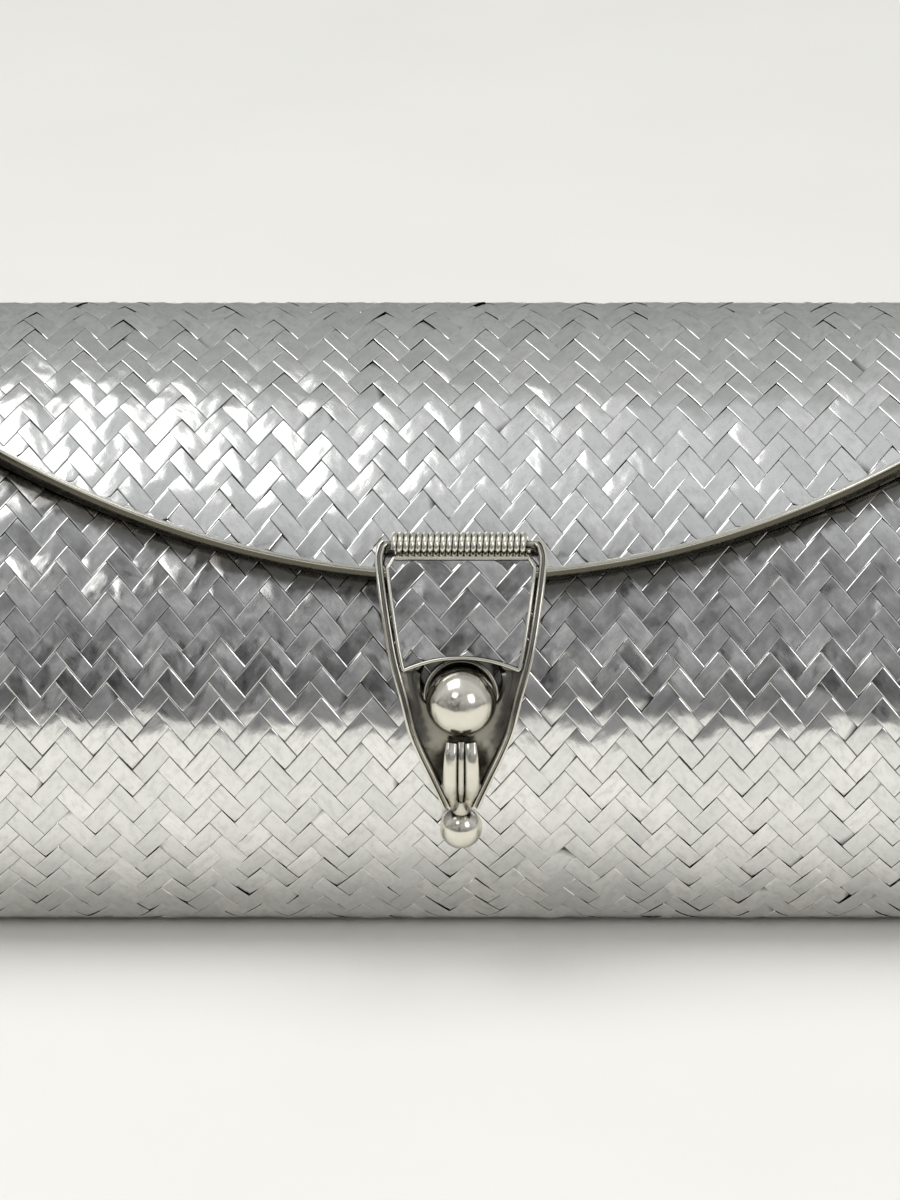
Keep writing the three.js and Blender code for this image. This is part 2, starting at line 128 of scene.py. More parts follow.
# Catch: distance down, back face and front face, as shares of BAIL_LENGTH and CATCH_HEIGHT
CATCH_ROWS = np.array((
    (0.65, 0.64, 0.82), (0.685, 0.73, 0.97), (0.74, 0.75, 1.0),
    (0.8, 0.58, 0.86), (0.86, 0.2, 0.5), (0.92, -0.2, 0.18),
))

# Weave: a 2/2 twill of ribbon. Each float spans two cells; columns of floats stand side by side.
COLUMN_PITCH = 4.05
STACK_PITCH = 4.9
RIBBON_GAP = 0.09
RIBBON_DIP = 0.3
RIBBON_CREASE = 9.0
PANEL_COLUMN_PITCH = 4.4
PANEL_STACK_PITCH = 4.87


def srgb(code, alpha=1.0):
    """A hex colour turned to linear values, by the standard curve for each channel."""
    value = np.array([int(code[i:i + 2], 16) for i in (1, 3, 5)]) / 255
    linear = np.where(value <= 0.04045, value / 12.92, ((value + 0.055) / 1.055) ** 2.4)
    return (*linear.tolist(), alpha)


# The section as arrays, and places on it

def section_table():
    """Chains the arcs end to end: each centre lies one radius behind the last arc's end."""
    start = np.radians([row["start"] for row in SECTION_ROWS])
    end = np.radians([row["end"] for row in SECTION_ROWS])
    radius = np.array([row["radius"] or 0.0 for row in SECTION_ROWS])
    back = next(i for i, row in enumerate(SECTION_ROWS) if row["radius"] is None)
    drop = np.sum(radius * (np.sin(end) - np.sin(start)))
    radius[back] = drop / (2 * math.sin(math.radians(BACK_LEAN)))
    step_y = radius * (np.cos(start) - np.cos(end))
    step_z = radius * (np.sin(end) - np.sin(start))
    y0 = np.concatenate(([0.0], np.cumsum(step_y)[:-1])) - np.sum(step_y) / 2
    z0 = np.concatenate(([0.0], np.cumsum(step_z)[:-1]))
    length = radius * (end - start)
    return {
        "radius": radius, "angle": start, "length": length,
        "at": np.concatenate(([0.0], np.cumsum(length)[:-1])),
        "y": y0 + radius * np.cos(start), "z": z0 - radius * np.sin(start),
        "base": float(np.sum(step_y)),
    }


SECTION = section_table()
ARC_TOTAL = float(np.sum(SECTION["length"]))
PERIMETER = ARC_TOTAL + SECTION["base"]
TOP_AT = float(SECTION["at"][BACK_TOP_ROW])


def behind_top(angle):
    """Distance forward of the top line, negative here, of a normal angle on the back's top corner."""
    return -SECTION_ROWS[BACK_TOP_ROW]["radius"] * math.radians(angle - 90)


def on_section(forward, offset):
    """Y and Z of places a distance forward of the top line along the section, lifted off it. Past
    the front's foot the way goes back along the flat base and up the back."""
    forward, offset = np.broadcast_arrays(np.asarray(forward, float), np.asarray(offset, float))
    s = np.mod(TOP_AT - forward, PERIMETER)
    row = np.clip(np.searchsorted(SECTION["at"], s, side="right") - 1, 0, len(SECTION["at"]) - 1)
    angle = SECTION["angle"][row] + (s - SECTION["at"][row]) / SECTION["radius"][row]
    reach = SECTION["radius"][row] + offset
    y = SECTION["y"][row] - reach * np.cos(angle)
    z = SECTION["z"][row] + reach * np.sin(angle)
    on_base = s > ARC_TOTAL
    y = np.where(on_base, SECTION["base"] / 2 - (s - ARC_TOTAL), y)
    return y, np.where(on_base, -offset, z)


def on_sheet(x, forward, offset):
    """Points of a sheet that follows the body: across, forward of the top line, off the body."""
    y, z = on_section(forward, offset)
    return np.stack(np.broadcast_arrays(x, y, z), axis=-1)


FLAP_DROP = FLAP_REACH - FLAP_SIDE_REACH
FLAP_EDGE_RADIUS = ((WIDTH / 2 - BAND_WIDTH) ** 2 + FLAP_DROP ** 2) / (2 * FLAP_DROP)


def edge_forward(x, inset):
    """The flap's edge on the unrolled sheet: an arc, or one drawn inside it by the inset."""
    return FLAP_REACH - FLAP_EDGE_RADIUS + np.sqrt((FLAP_EDGE_RADIUS - inset) ** 2 - x ** 2)


def circle_through(a, b, c):
    """Centre and radius of the circle through three places, from the crossing of two bisectors."""
    pts = np.array([a, b, c])
    matrix = 2 * (pts[1:] - pts[0])
    centre = np.linalg.solve(matrix, np.sum(pts[1:] ** 2 - pts[0] ** 2, axis=1))
    return centre, float(np.hypot(*(pts[0] - centre)))


COIL_FORWARD = FLAP_REACH - COIL_INSET
BALL_FORWARD = COIL_FORWARD + BALL_SHARE * BAIL_LENGTH
COIL_AXIS = np.array(on_section(COIL_FORWARD, FLAP_TOP + GAP + COIL_RADIUS))
BAIL_CENTRE, BAIL_RADIUS = circle_through(
    COIL_AXIS,
    np.array(on_section(BALL_FORWARD, LIFT_AT_BALL)),
    np.array(on_section(COIL_FORWARD + THUMB_SHARE * BAIL_LENGTH, LIFT_AT_THUMB)),
)
BAIL_START = math.atan2(COIL_AXIS[1] - BAIL_CENTRE[1], BAIL_CENTRE[0] - COIL_AXIS[0])


def on_bail(x, down, lift):
    """Points of the bail: across, down from the coil along its curved middle, and off that."""
    angle = BAIL_START - np.asarray(down, float) / BAIL_RADIUS
    reach = BAIL_RADIUS + np.asarray(lift, float)
    y = BAIL_CENTRE[0] - reach * np.cos(angle)
    z = BAIL_CENTRE[1] + reach * np.sin(angle)
    return np.stack(np.broadcast_arrays(x, y, z), axis=-1)


def spline(rows, count):
    """A curve through the rows: on each stretch a cubic whose slopes are half the neighbours' span."""
    t = np.linspace(0, len(rows) - 1, count)
    i = np.minimum(t.astype(int), len(rows) - 2)
    f = (t - i)[:, None]
    p0, p1 = rows[np.maximum(i - 1, 0)], rows[i]
    p2, p3 = rows[i + 1], rows[np.minimum(i + 2, len(rows) - 1)]
    v0, v1 = (p2 - p0) / 2, (p3 - p1) / 2
    cubic = 2 * (p1 - p2) + v0 + v1
    square = 3 * (p2 - p1) - 2 * v0 - v1
    return ((cubic * f + square) * f + v0) * f + p1


# Shapes are pairs: points in millimetres, and a list of arrays of faces

def grid_faces(rows, columns, ring_rows=False, ring_columns=False):
    """Quads between the neighbours of a grid of points; a ring joins its last line to its first."""
    i, j = np.meshgrid(np.arange(rows - (not ring_rows)), np.arange(columns - (not ring_columns)),
                       indexing="ij")
    i, j = i.ravel(), j.ravel()
    below, right = (i + 1) % rows, (j + 1) % columns
    corners = (i * columns + j, below * columns + j, below * columns + right, i * columns + right)
    return np.stack(corners, axis=1)


def together(*shapes):
    """Several shapes as one."""
    points, faces, first = [], [], 0
    for own_points, own_faces in shapes:
        points.append(own_points)
        faces.extend(rows + first for rows in own_faces)
        first += len(own_points)
    return np.concatenate(points), faces


def outward(shape):
    """A closed shape with its faces turned outwards: the volume under its faces is made positive."""
    points, faces = shape
    volume = 0.0
    for rows in faces:
        for k in range(1, rows.shape[1] - 1):
            a, b, c = points[rows[:, 0]], points[rows[:, k]], points[rows[:, k + 1]]
            volume += float(np.sum(a * np.cross(b, c)))
    return (points, [rows[:, ::-1] for rows in faces]) if volume < 0 else shape


def bar(rings, ring=False):
    """A solid with a ring of points at each station; closed on itself, or capped at its two ends."""
    rings = np.asarray(rings, float)
    stations, around = rings.shape[:2]
    faces = [grid_faces(stations, around, ring_rows=ring, ring_columns=True)]
    if not ring:
        first = np.arange(around)[None, :]
        faces += [first, first[:, ::-1] + (stations - 1) * around]
    return outward((rings.reshape(-1, 3), faces))


def rounded(width, height, radius, steps=3):
    """Outline of a rectangle about (0, 0) with rounded corners, a quarter circle at each. Widths and
    heights may be columns, for an outline at each station."""
    turn = np.linspace(0, np.pi / 2, steps + 1)
    places = []
    for quarter, (sx, sy) in enumerate(((1, 1), (-1, 1), (-1, -1), (1, -1))):
        at = turn + quarter * np.pi / 2
        places.append(np.stack([sx * (width / 2 - radius) + radius * np.cos(at),
                                sy * (height / 2 - radius) + radius * np.sin(at)], axis=-1))
    return np.concatenate(places, axis=-2)


def unit(vector):
    """A vector, or rows of them, at length one."""
    vector = np.asarray(vector, float)
    return vector / np.linalg.norm(vector, axis=-1, keepdims=True)


def turned(profile, place, axis, sides=48):
    """A profile of (radius, height) turned about an axis through a place. A first or last row with no
    radius is a single point that a fan closes; without one, the profile is a ring closed on itself."""
    profile, axis = np.asarray(profile, float), unit(axis)
    side = unit(np.cross(axis, (1, 0, 0) if abs(axis[0]) < 0.9 else (0, 1, 0)))
    turn = np.linspace(0, 2 * np.pi, sides, endpoint=False)[:, None]
    spokes = np.cos(turn) * side + np.sin(turn) * np.cross(axis, side)
    rows = profile[profile[:, 0] > 0]
    rings = place + rows[:, 1, None, None] * axis + rows[:, 0, None, None] * spokes
    points = [rings.reshape(-1, 3)]
    faces = [grid_faces(len(rows), sides, ring_rows=len(rows) == len(profile), ring_columns=True)]
    for tip, first_of_ring in ((profile[0], 0), (profile[-1], (len(rows) - 1) * sides)):
        if tip[0] == 0:
            ring = np.arange(sides) + first_of_ring
            after = np.roll(ring, -1)
            pole = np.full(sides, len(rows) * sides + len(points) - 1)
            points.append((place + tip[1] * axis)[None])
            faces.append(np.stack([pole, after, ring] if first_of_ring else [pole, ring, after], axis=1))
    return outward((np.concatenate(points), faces))


def ball(radius, place, axis, sides=64):
    """A sphere about a place with its poles on an axis: half a circle turned."""
    turn = np.linspace(-np.pi / 2, np.pi / 2, sides // 2)
    profile = np.stack([radius * np.cos(turn), radius * np.sin(turn)], axis=1)
    profile[[0, -1], 0] = 0.0
    return turned(profile, place, axis, sides)


def make_piece(name, shape, material, body, replaced, sharp=35.0, uv=None, marks=None):
    """Puts a shape into a mesh in metres, smooth but for edges sharper than an angle, parents it to the
    empty of the body it rides on, gives it its finish and hides the imported nodes that it stands for."""
    points, faces = shape
    mesh = bpy.data.meshes.new(name)
    corners = np.concatenate([rows.ravel() for rows in faces])
    sizes = np.concatenate([np.full(len(rows), rows.shape[1]) for rows in faces])
    mesh.vertices.add(len(points))
    mesh.vertices.foreach_set("co", (points * MM).ravel())
    mesh.loops.add(len(corners))
    mesh.loops.foreach_set("vertex_index", corners)
    mesh.polygons.add(len(sizes))
    mesh.polygons.foreach_set("loop_start", np.concatenate(([0], np.cumsum(sizes)[:-1])))
    mesh.polygons.foreach_set("use_smooth", np.ones(len(sizes), bool))
    mesh.update(calc_edges=True)
    if uv is not None:
        layer = mesh.uv_layers.new(name="along_ribbon")
        layer.data.foreach_set("uv", uv[corners].ravel())
    for label, values in (marks or {}).items():
        mesh.attributes.new(label, "FLOAT", "POINT").data.foreach_set("value", values)
    if sharp:
        mesh.set_sharp_from_angle(angle=math.radians(sharp))
    mesh.materials.append(material)
    piece = bpy.data.objects.new(name, mesh)
    bpy.context.scene.collection.objects.link(piece)
    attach(piece, body)
    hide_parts(*replaced)
    return piece


# The weave

# Places along a float and the dip beneath its neighbours, as shares of its half length
FLOAT_ROWS = np.array((0.0, 0.5, 0.9, 0.98, 1.01, 1.05, 2.0, 2.95, 2.99, 3.02, 3.1, 3.5))
# Places across a ribbon, as shares of its half width
FLOAT_COLUMNS = np.array((-1.0, -0.92, -0.85, 0.0, 0.85, 0.92, 1.0))
# Where a float's end dives, as shares of its half length
DIVE_START = 0.975
DIVE_END = 1.05
# How widely the floats' own tilts and twist are spread, as slopes and a slope per millimetre
TILT_ALONG = 0.024
TILT_ACROSS = 0.026
TWIST = 0.005
# Between which millimetres each float's own arch along it and crown across it lie
ARCH_SPAN = (0.03, 0.1)
CROWN_SPAN = (0.0, 0.025)
# Ribbon edges are rolled down by this much beyond a share of the half width
EDGE_ROLL = 0.05
EDGE_START = 0.9
# Ribbons are this far apart in the wear pattern, so that no two share a cloud
PATTERN_STEP = 7.3


def soft_step(x, low, high):
    """0 below low, 1 above high, and a smooth cubic between."""
    t = np.clip((x - low) / (high - low), 0, 1)
    return t * t * (3 - 2 * t)


def ribbons(column_pitch, stack_pitch, start, way, box, dip, seed):
    """One family of a 2/2 twill on a flat sheet. Each ribbon runs straight at the slope of half a
    stack over half a column, rising (way 1) or falling (way -1). Its height is 0 on a float, less the
    arch times the square of the way along, less the crown times the square of the way across, plus
    the float's tilts and twist times those ways; it falls smoothly by the dip where it passes under
    two neighbours. Gives points as (across, up, height), their quads, uv along and across the ribbon
    in millimetres, and marks."""
    half_column, half_stack = column_pitch / 2, stack_pitch / 2
    half_float = math.hypot(half_column, half_stack)
    along = np.array((way * half_column, half_stack)) / half_float
    # A ribbon's ends are cut along the ribbons that cross it
    crossing = np.array((-way * half_column, half_stack)) / half_float
    square = crossing / (along[0] * crossing[1] - along[1] * crossing[0])
    width = stack_pitch * half_column / half_float - RIBBON_GAP
    (x0, up0), (x1, up1) = box
    first = np.array(start, float)
    reach = abs(x1 - x0) * half_stack / half_column
    ribbon = np.arange(math.floor((up0 - first[1] - reach) / stack_pitch) - 1,
                       math.ceil((up1 - first[1] + reach) / stack_pitch) + 2)
    # Every float's centre lies a whole number of column pairs from the first column
    pairs = np.arange(math.floor((x0 - first[0]) / (2 * column_pitch)) - 1,
                      math.ceil((x1 - first[0]) / (2 * column_pitch)) + 2)
    if way < 0:
        pairs = pairs[::-1]
    rows = len(FLOAT_ROWS)
    s = FLOAT_ROWS * half_float
    t = FLOAT_COLUMNS * width / 2
    random = np.random.default_rng(seed)
    count = (len(ribbon), len(pairs))
    tilt_along = random.normal(0, TILT_ALONG, count)
    tilt_across = random.normal(0, TILT_ACROSS, count)
    twist = random.normal(0, TWIST, count)
    arch = random.uniform(*ARCH_SPAN, count)
    crown = random.uniform(*CROWN_SPAN, count)
    worn = random.uniform(0, 1, count)

    # Rows past two half floats belong to the next float's start
    late = FLOAT_ROWS > 2
    own = np.where(late, s - 4 * half_float, s)
    number = np.arange(len(pairs))[:, None] + late[None, :]
    number = np.minimum(number, len(pairs) - 1).ravel()
    place = np.tile(own, len(pairs))
    step = (np.arange(len(pairs))[:, None] * 4 * half_float + s[None, :]).ravel()

    def of(values):
        """Each float's own value at all its rows."""
        return values[:, number][:, :, None]

    far = np.abs(place)[None, :, None] / half_float
    over = 1 - soft_step(far, DIVE_START, DIVE_END)
    share = t[None, None, :] / (width / 2)
    near = place[None, :, None]
    height = (1 - over) * -dip
    height = height - of(arch) * np.minimum(far, 1.1) ** 2 * over
    rolled = EDGE_ROLL * soft_step(np.abs(share), EDGE_START, 1.0)
    height = height - of(crown) * share ** 2 * over - rolled
    height = height + over * (of(tilt_along) * near + of(tilt_across) * t + of(twist) * near * t)

    # Each ribbon starts at the first pair of columns, up or down its own line from there
    origin = first + np.array((0, stack_pitch)) * ribbon[:, None]
    start_x = pairs[0] * 2 * column_pitch
    origin = origin + np.array((start_x, start_x * way * half_stack / half_column))
    flat = (origin[:, None, None, :] + step[None, :, None, None] * along
            + t[None, None, :, None] * square)
    points = np.concatenate([flat, np.broadcast_to(height[..., None], flat.shape[:3] + (1,))], axis=3)
    stations, across = flat.shape[1:3]
    faces = (np.arange(len(ribbon))[:, None, None] * stations * across
             + grid_faces(stations, across)[None]).reshape(-1, 4)
    u = np.broadcast_to(step[None, :, None], flat.shape[:3])
    v = np.broadcast_to(ribbon[:, None, None] * PATTERN_STEP + t[None, None, :], flat.shape[:3])
    marks = {
        "float_tone": np.broadcast_to(of(worn), flat.shape[:3]).ravel(),
        "float_depth": np.broadcast_to(np.clip(-height / dip, 0, 1), flat.shape[:3]).ravel(),
        # The edge rows are marked so that the painted shade leaves them out
        "ribbon_edge": np.broadcast_to(np.abs(share) > EDGE_START, flat.shape[:3]).astype(float).ravel(),
    }
    uv = np.stack([u.ravel(), v.ravel()], axis=1)
    return points.reshape(-1, 3), faces, uv, marks


def trimmed(points, faces, clamp):
    """Cuts a sheet at its outline: places beyond it move to its edge, and faces wholly beyond go.
    clamp gives the moved places and which of them lay inside."""
    moved, inside = clamp(points[:, 0], points[:, 1])
    kept = faces[np.any(inside[faces], axis=1)]
    used, new = np.unique(kept, return_inverse=True)
    sheet = np.column_stack([moved[used], points[used, 2:]])
    return sheet, new.reshape(kept.shape), used


def woven(name, place, clamp, box, pitches, start, dip, material, body, replaced, seed, painted_shade=None):
    """The two families of a woven sheet, a piece each: rising ribbons and the falling ones that start
    one column over and half a stack down. place turns (across, up, height) into points; the last
    argument, where given, tells how much painted shade falls on a place."""
    column_pitch, stack_pitch = pitches
    starts = (start, (start[0] + column_pitch, start[1] - stack_pitch / 2))
    for family, way, first in zip(("rising", "falling"), (1, -1), starts):
        points, faces, uv, marks = ribbons(column_pitch, stack_pitch, first, way, box, dip, seed + way)
        sheet, faces, used = trimmed(points, faces, clamp)
        shape = (place(sheet[:, 0], sheet[:, 1], sheet[:, 2]), [faces])
        marks = {label: values[used] for label, values in marks.items()}
        if painted_shade:
            marks["painted_shade"] = painted_shade(sheet[:, 0], sheet[:, 1])
        make_piece(f"{name}_{family}", shape, material, body, replaced,
                   sharp=RIBBON_CREASE, uv=uv[used], marks=marks)


def backing(name, place, clamp, box, step, depth, thickness, material, body, replaced):
    """A plain sheet behind a weave, cut at the same outline: a grid on the flat sheet, and a wall."""
    (x0, up0), (x1, up1) = box
    across = np.linspace(x0, x1, math.ceil((x1 - x0) / step))
    up = np.linspace(up0, up1, math.ceil((up1 - up0) / step))
    x, v = (grid.ravel() for grid in np.meshgrid(across, up))
    faces = grid_faces(len(up), len(across))[:, ::-1]
    sheet, faces, _ = trimmed(np.stack([x, v, np.full(len(x), -depth)], axis=1), faces, clamp)
    shape = (place(sheet[:, 0], sheet[:, 1], sheet[:, 2]), [faces])
    piece = make_piece(name, shape, material, body, replaced, sharp=None)
    wall = piece.modifiers.new("wall", "SOLIDIFY")
    wall.thickness = thickness * MM
    wall.offset = -1
    return piece


# Outlines of the woven sheets, on the flat

FRONT_FOOT = TOP_AT + SECTION["base"] / 2
WRAP_HALF = WIDTH / 2 - BAND_WIDTH - GAP
WRAP_BOX = ((-WRAP_HALF, -FRONT_FOOT), (WRAP_HALF, PERIMETER - FRONT_FOOT))
WRAP_PITCHES = (COLUMN_PITCH, PERIMETER / round(PERIMETER / STACK_PITCH + 0.5))
MOUTH_HALF = WIDTH / 2 - BAND_WIDTH - MOUTH_INSET


def mouth_rear(grow):
    """Distance forward of the top line, negative here, of the mouth's rear edge."""
    radius = SECTION_ROWS[BACK_TOP_ROW]["radius"]
    return -radius * math.asin((MOUTH_BACK + grow) / radius)


def wrap_clamp(x, up):
    """The wrap's outline: its two ends, its seam under the base, and the mouth's hole, whose inside
    places move to the nearest of its edges."""
    grow = MOUTH_BAND_WIDTH + GAP
    (x0, up0), (x1, up1) = WRAP_BOX
    inside = (x > x0) & (x < x1) & (up > up0) & (up < up1)
    x, up = np.clip(x, x0, x1), np.clip(up, up0, up1)
    half, rear = MOUTH_HALF + grow, -mouth_rear(grow)
    front = -edge_forward(np.clip(x, -half, half), MOUTH_OVERLAP - grow)
    room = np.stack([up - front, rear - up, half - np.abs(x)])
    in_hole = np.all(room > 0, axis=0)
    nearest = np.argmin(room, axis=0)
    up = np.where(in_hole & (nearest == 0), front, np.where(in_hole & (nearest == 1), rear, up))
    x = np.where(in_hole & (nearest == 2), np.sign(x) * half, x)
    return np.stack([x, up], axis=1), inside & ~in_hole


# Painted shade on the silver: 0 in the open, 1 for full shade, and more in the painted shadow bands
# along the rim and round the ball. The values are for the front below the flap, what those bands add,
# the top and back, and the bail's panel.
SHADE_FRONT = 0.55
SHADE_CORNER = 1.4
SHADE_BACK = 0.5
SHADE_PANEL = 0.8
# It follows the flap's edge within this half width, and ends where the section has turned this far
SHADE_HALF = 96.0
FULLEST_TURN = 48.0


def under_flap(x, up):
    """Painted shade on the wrap: whole beneath the flap, less from just below its edge down to the body's
    fullest line, where it ends, and a darker painted shadow band along the rim and round the ball."""
    forward = -up
    below = forward - edge_forward(np.clip(x, -SHADE_HALF, SHADE_HALF), 0)
    near = 1 - soft_step(below, 0.5, 5.5)
    fullest = TOP_AT - SECTION["at"][1] - SECTION["radius"][1] * math.radians(FULLEST_TURN)
    above = 1 - soft_step(forward, fullest - 6, fullest + 2)
    by_rim = soft_step(below, -4.0, -1.0) * (1 - soft_step(below, 1.0, 3.4))
    from_ball = np.hypot(x, forward - BALL_FORWARD) - COLLAR_RADIUS
    by_ball = 1 - soft_step(from_ball, 0.5, 3.5)
    front = above * (SHADE_FRONT + (1 - SHADE_FRONT) * near)
    corner = SHADE_CORNER * np.maximum(by_rim, by_ball)
    return np.where(forward > 0, front + corner, SHADE_BACK)


def flap_edge(inset, count=400):
    """The flap's outline from the middle of its front to its rear on the right, evenly spaced: the
    arc, a quarter of a rounded corner as a curve with one handle, and the straight side."""
    half = WIDTH / 2 - BAND_WIDTH - inset
    meet = np.array((half - FLAP_CORNER, edge_forward(half - FLAP_CORNER, inset)))
    corner = np.array((half, edge_forward(half, inset)))
    side = np.array((half, corner[1] - FLAP_CORNER))
    x = np.linspace(0, meet[0], 200, endpoint=False)
    t = np.linspace(0, 1, 24)[:, None]
    bend = (1 - t) ** 2 * meet + 2 * t * (1 - t) * corner + t * t * side
    rear = np.array(((half, behind_top(FLAP_REAR_ANGLE)),))
    path = np.concatenate([np.stack([x, edge_forward(x, inset)], axis=1), bend, rear])
    return evenly(path, count)


def evenly(path, count, ring=False):
    """The same path with its points at equal distances."""
    if ring:
        path = np.concatenate([path, path[:1]])
    run = np.concatenate(([0.0], np.cumsum(np.linalg.norm(np.diff(path, axis=0), axis=1))))
    at = np.linspace(0, run[-1], count, endpoint=not ring)
    return np.stack([np.interp(at, run, path[:, k]) for k in range(path.shape[1])], axis=1)


FLAP_CLEAR = RIM_THICKNESS + GAP
FLAP_HALF = WIDTH / 2 - BAND_WIDTH - FLAP_CLEAR
FLAP_OUTLINE = flap_edge(FLAP_CLEAR)
FLAP_BOX = ((-FLAP_HALF, -FLAP_REACH), (FLAP_HALF, -behind_top(FLAP_REAR_ANGLE)))


def flap_clamp(x, up):
    """The flap's outline: straight sides and rear, and the arc of its front with rounded corners. A
    fault is left in it: FLAP_OUTLINE has one x for a whole side, so a place on a side moves to the
    side's rear end, and the flap's sheets have long stray faces there."""
    inside = np.abs(x) < FLAP_HALF
    x = np.clip(x, -FLAP_HALF, FLAP_HALF)
    low = -np.interp(np.abs(x), FLAP_OUTLINE[:, 0], FLAP_OUTLINE[:, 1])
    high = FLAP_BOX[1][1]
    inside &= (up > low) & (up < high)
    return np.stack([x, np.clip(up, low, high)], axis=1), inside


END_CENTRE = float(on_section(0, 0)[1]) / 2
END_LOOP = np.stack(on_section(np.linspace(0, PERIMETER, 721), -BAND_DEPTH - GAP), axis=1)
END_TURN = np.arctan2(END_LOOP[:, 1] - END_CENTRE, END_LOOP[:, 0])
END_ORDER = np.argsort(END_TURN)
END_REACH = np.hypot(END_LOOP[:, 0], END_LOOP[:, 1] - END_CENTRE)[END_ORDER]
END_TURN = END_TURN[END_ORDER]


def end_share(y, z):
    """How far out a place on an end panel lies, as a share of the way from its centre to its edge."""
    turn = np.arctan2(z - END_CENTRE, y)
    return np.hypot(y, z - END_CENTRE) / np.interp(turn, END_TURN, END_REACH, period=2 * np.pi)


def end_clamp(side):
    """An end panel's outline: places beyond it move in towards its centre."""
    def clamp(across, up):
        """Moved places, and which of them lay inside."""
        share = end_share(side * across, up)
        pull = 1 / np.maximum(share, 1)
        moved = np.stack([across * pull, END_CENTRE + (up - END_CENTRE) * pull], axis=1)
        return moved, share < 1
    return clamp


def on_end(side):
    """Places on an end panel: a dome that falls with the square of the share of the way out."""
    def place(across, up, height):
        """Points of the panel at heights off its dome."""
        y = side * across
        dome = PANEL_DOME * (1 - np.minimum(end_share(y, up), 1) ** 2)
        x = side * (WIDTH / 2 - BAND_WIDTH + WALL + dome + height)
        return np.stack([x, y, up], axis=-1)
    return place


RAIL_PATH = spline(RAIL_ROWS * (BAIL_HALF, BAIL_LENGTH), 400)


def rail_half(down):
    """Half the distance between the rails' middles at a distance down from the coil."""
    return np.interp(down, RAIL_PATH[:, 1], RAIL_PATH[:, 0])


def panel_half(down):
    """Half the bail panel's width: inside the rails by their half width and a gap, with its top
    corners cut off."""
    inside_rails = rail_half(np.maximum(down, PANEL_SHOULDER)) - RAIL_WIDTH / 2 - GAP
    cut = np.clip((PANEL_SHOULDER - down) / (PANEL_SHOULDER - PANEL_TOP), 0, 1)
    return inside_rails - PANEL_CHAMFER * cut


def panel_bottom(x):
    """How far down the panel's arched lower edge lies."""
    return PANEL_BOTTOM - PANEL_ARCH * (1 - (x / panel_half(PANEL_BOTTOM)) ** 2)


PANEL_RIM = 0.35


def panel_clamp(x, up):
    """The bail panel's outline, inside its wire rim."""
    down = np.clip(-up, PANEL_TOP + PANEL_RIM, panel_bottom(x) - PANEL_RIM)
    half = panel_half(down) - PANEL_RIM
    inside = (np.abs(x) < half) & (down == -up)
    return np.stack([np.clip(x, -half, half), -down], axis=1), inside


def on_body(lift):
    """Places on a sheet that follows the body, with its crests at a lift off it."""
    def place(across, up, height):
        """Points of the sheet at heights off its crests."""
        return on_sheet(across, -up, lift + height)
    return place


def on_panel(across, up, height):
    """Places on the bail's panel, at heights off its crests."""
    return on_bail(across, -up, PANEL_SINK + WALL + height)


# Solid pieces

def along_path(path, up, profile, ring=False):
    """A profile carried along a path: its first number goes to the path's side, the cross product of
    the path's way and up, and its second goes along up. There may be a profile for each station."""
    ahead = np.roll(path, -1, 0) - np.roll(path, 1, 0) if ring else np.gradient(path, axis=0)
    up = unit(up)
    side = unit(np.cross(ahead, up))
    profile = np.broadcast_to(profile, (len(path), *profile.shape[-2:]))
    rings = path[:, None] + profile[..., :1] * side[:, None] + profile[..., 1:] * up[:, None]
    return bar(rings, ring)


def sheet_normal(forward):
    """The body's outward normal at distances forward of the top line."""
    return on_sheet(0.0, forward, 1.0) - on_sheet(0.0, forward, 0.0)


def end_band(side):
    """A rounded rectangle carried round the section at the body's end."""
    forward = np.linspace(0, PERIMETER, 360, endpoint=False)
    path = on_sheet(side * (WIDTH - BAND_WIDTH) / 2, forward, -BAND_DEPTH / 2)
    profile = rounded(BAND_WIDTH, BAND_DEPTH, BAND_ROUNDING)
    return along_path(path, sheet_normal(forward), profile, ring=True)


def mouth_outline(grow):
    """The mouth's edge on the flat sheet, grown outwards: its front arc, a side, its rear, a side."""
    half, rear = MOUTH_HALF + grow, mouth_rear(grow)
    x = np.linspace(-half, half, 160)
    front = np.stack([x, edge_forward(x, MOUTH_OVERLAP - grow)], axis=1)
    down = np.linspace(front[-1, 1], rear, 50)[1:]
    right = np.stack([np.full(len(down), half), down], axis=1)
    back = np.stack([x[::-1][1:], np.full(len(x) - 1, rear)], axis=1)
    left = right[::-1][1:] * (-1, 1)
    return np.concatenate([front, right, back, left])


def mouth_band():
    """A rounded strip between the mouth's edge and that edge grown by the band's width."""
    inner, outer = mouth_outline(0), mouth_outline(MOUTH_BAND_WIDTH)
    high = WALL + 2 * MOUTH_BAND_PROUD
    profile = rounded(MOUTH_BAND_WIDTH, high, MOUTH_BAND_ROUNDING)
    share = 0.5 + profile[:, 0] / MOUTH_BAND_WIDTH
    flat = inner[:, None] + (outer - inner)[:, None] * share[None, :, None]
    lift = np.broadcast_to(profile[:, 1] + MOUTH_BAND_PROUD - high / 2, flat.shape[:2])
    return bar(on_sheet(flat[..., 0], flat[..., 1], lift), ring=True)


# The rim's section: sideways from its middle, outwards positive, then below its top, and how much
# of the lip's painted pale highlight is there
RIM_SECTION = np.array((
    (-0.65, 3.6, 0), (0.4, 3.6, 0), (0.65, 3.3, 0), (0.65, 1.0, 0), (0.54, 0.76, 0), (0.06, 0.36, 0),
    (-0.02, 0.27, 0.6), (-0.1, 0.09, 1), (-0.28, 0, 1), (-0.55, 0.03, 1), (-0.65, 0.15, 1),
))


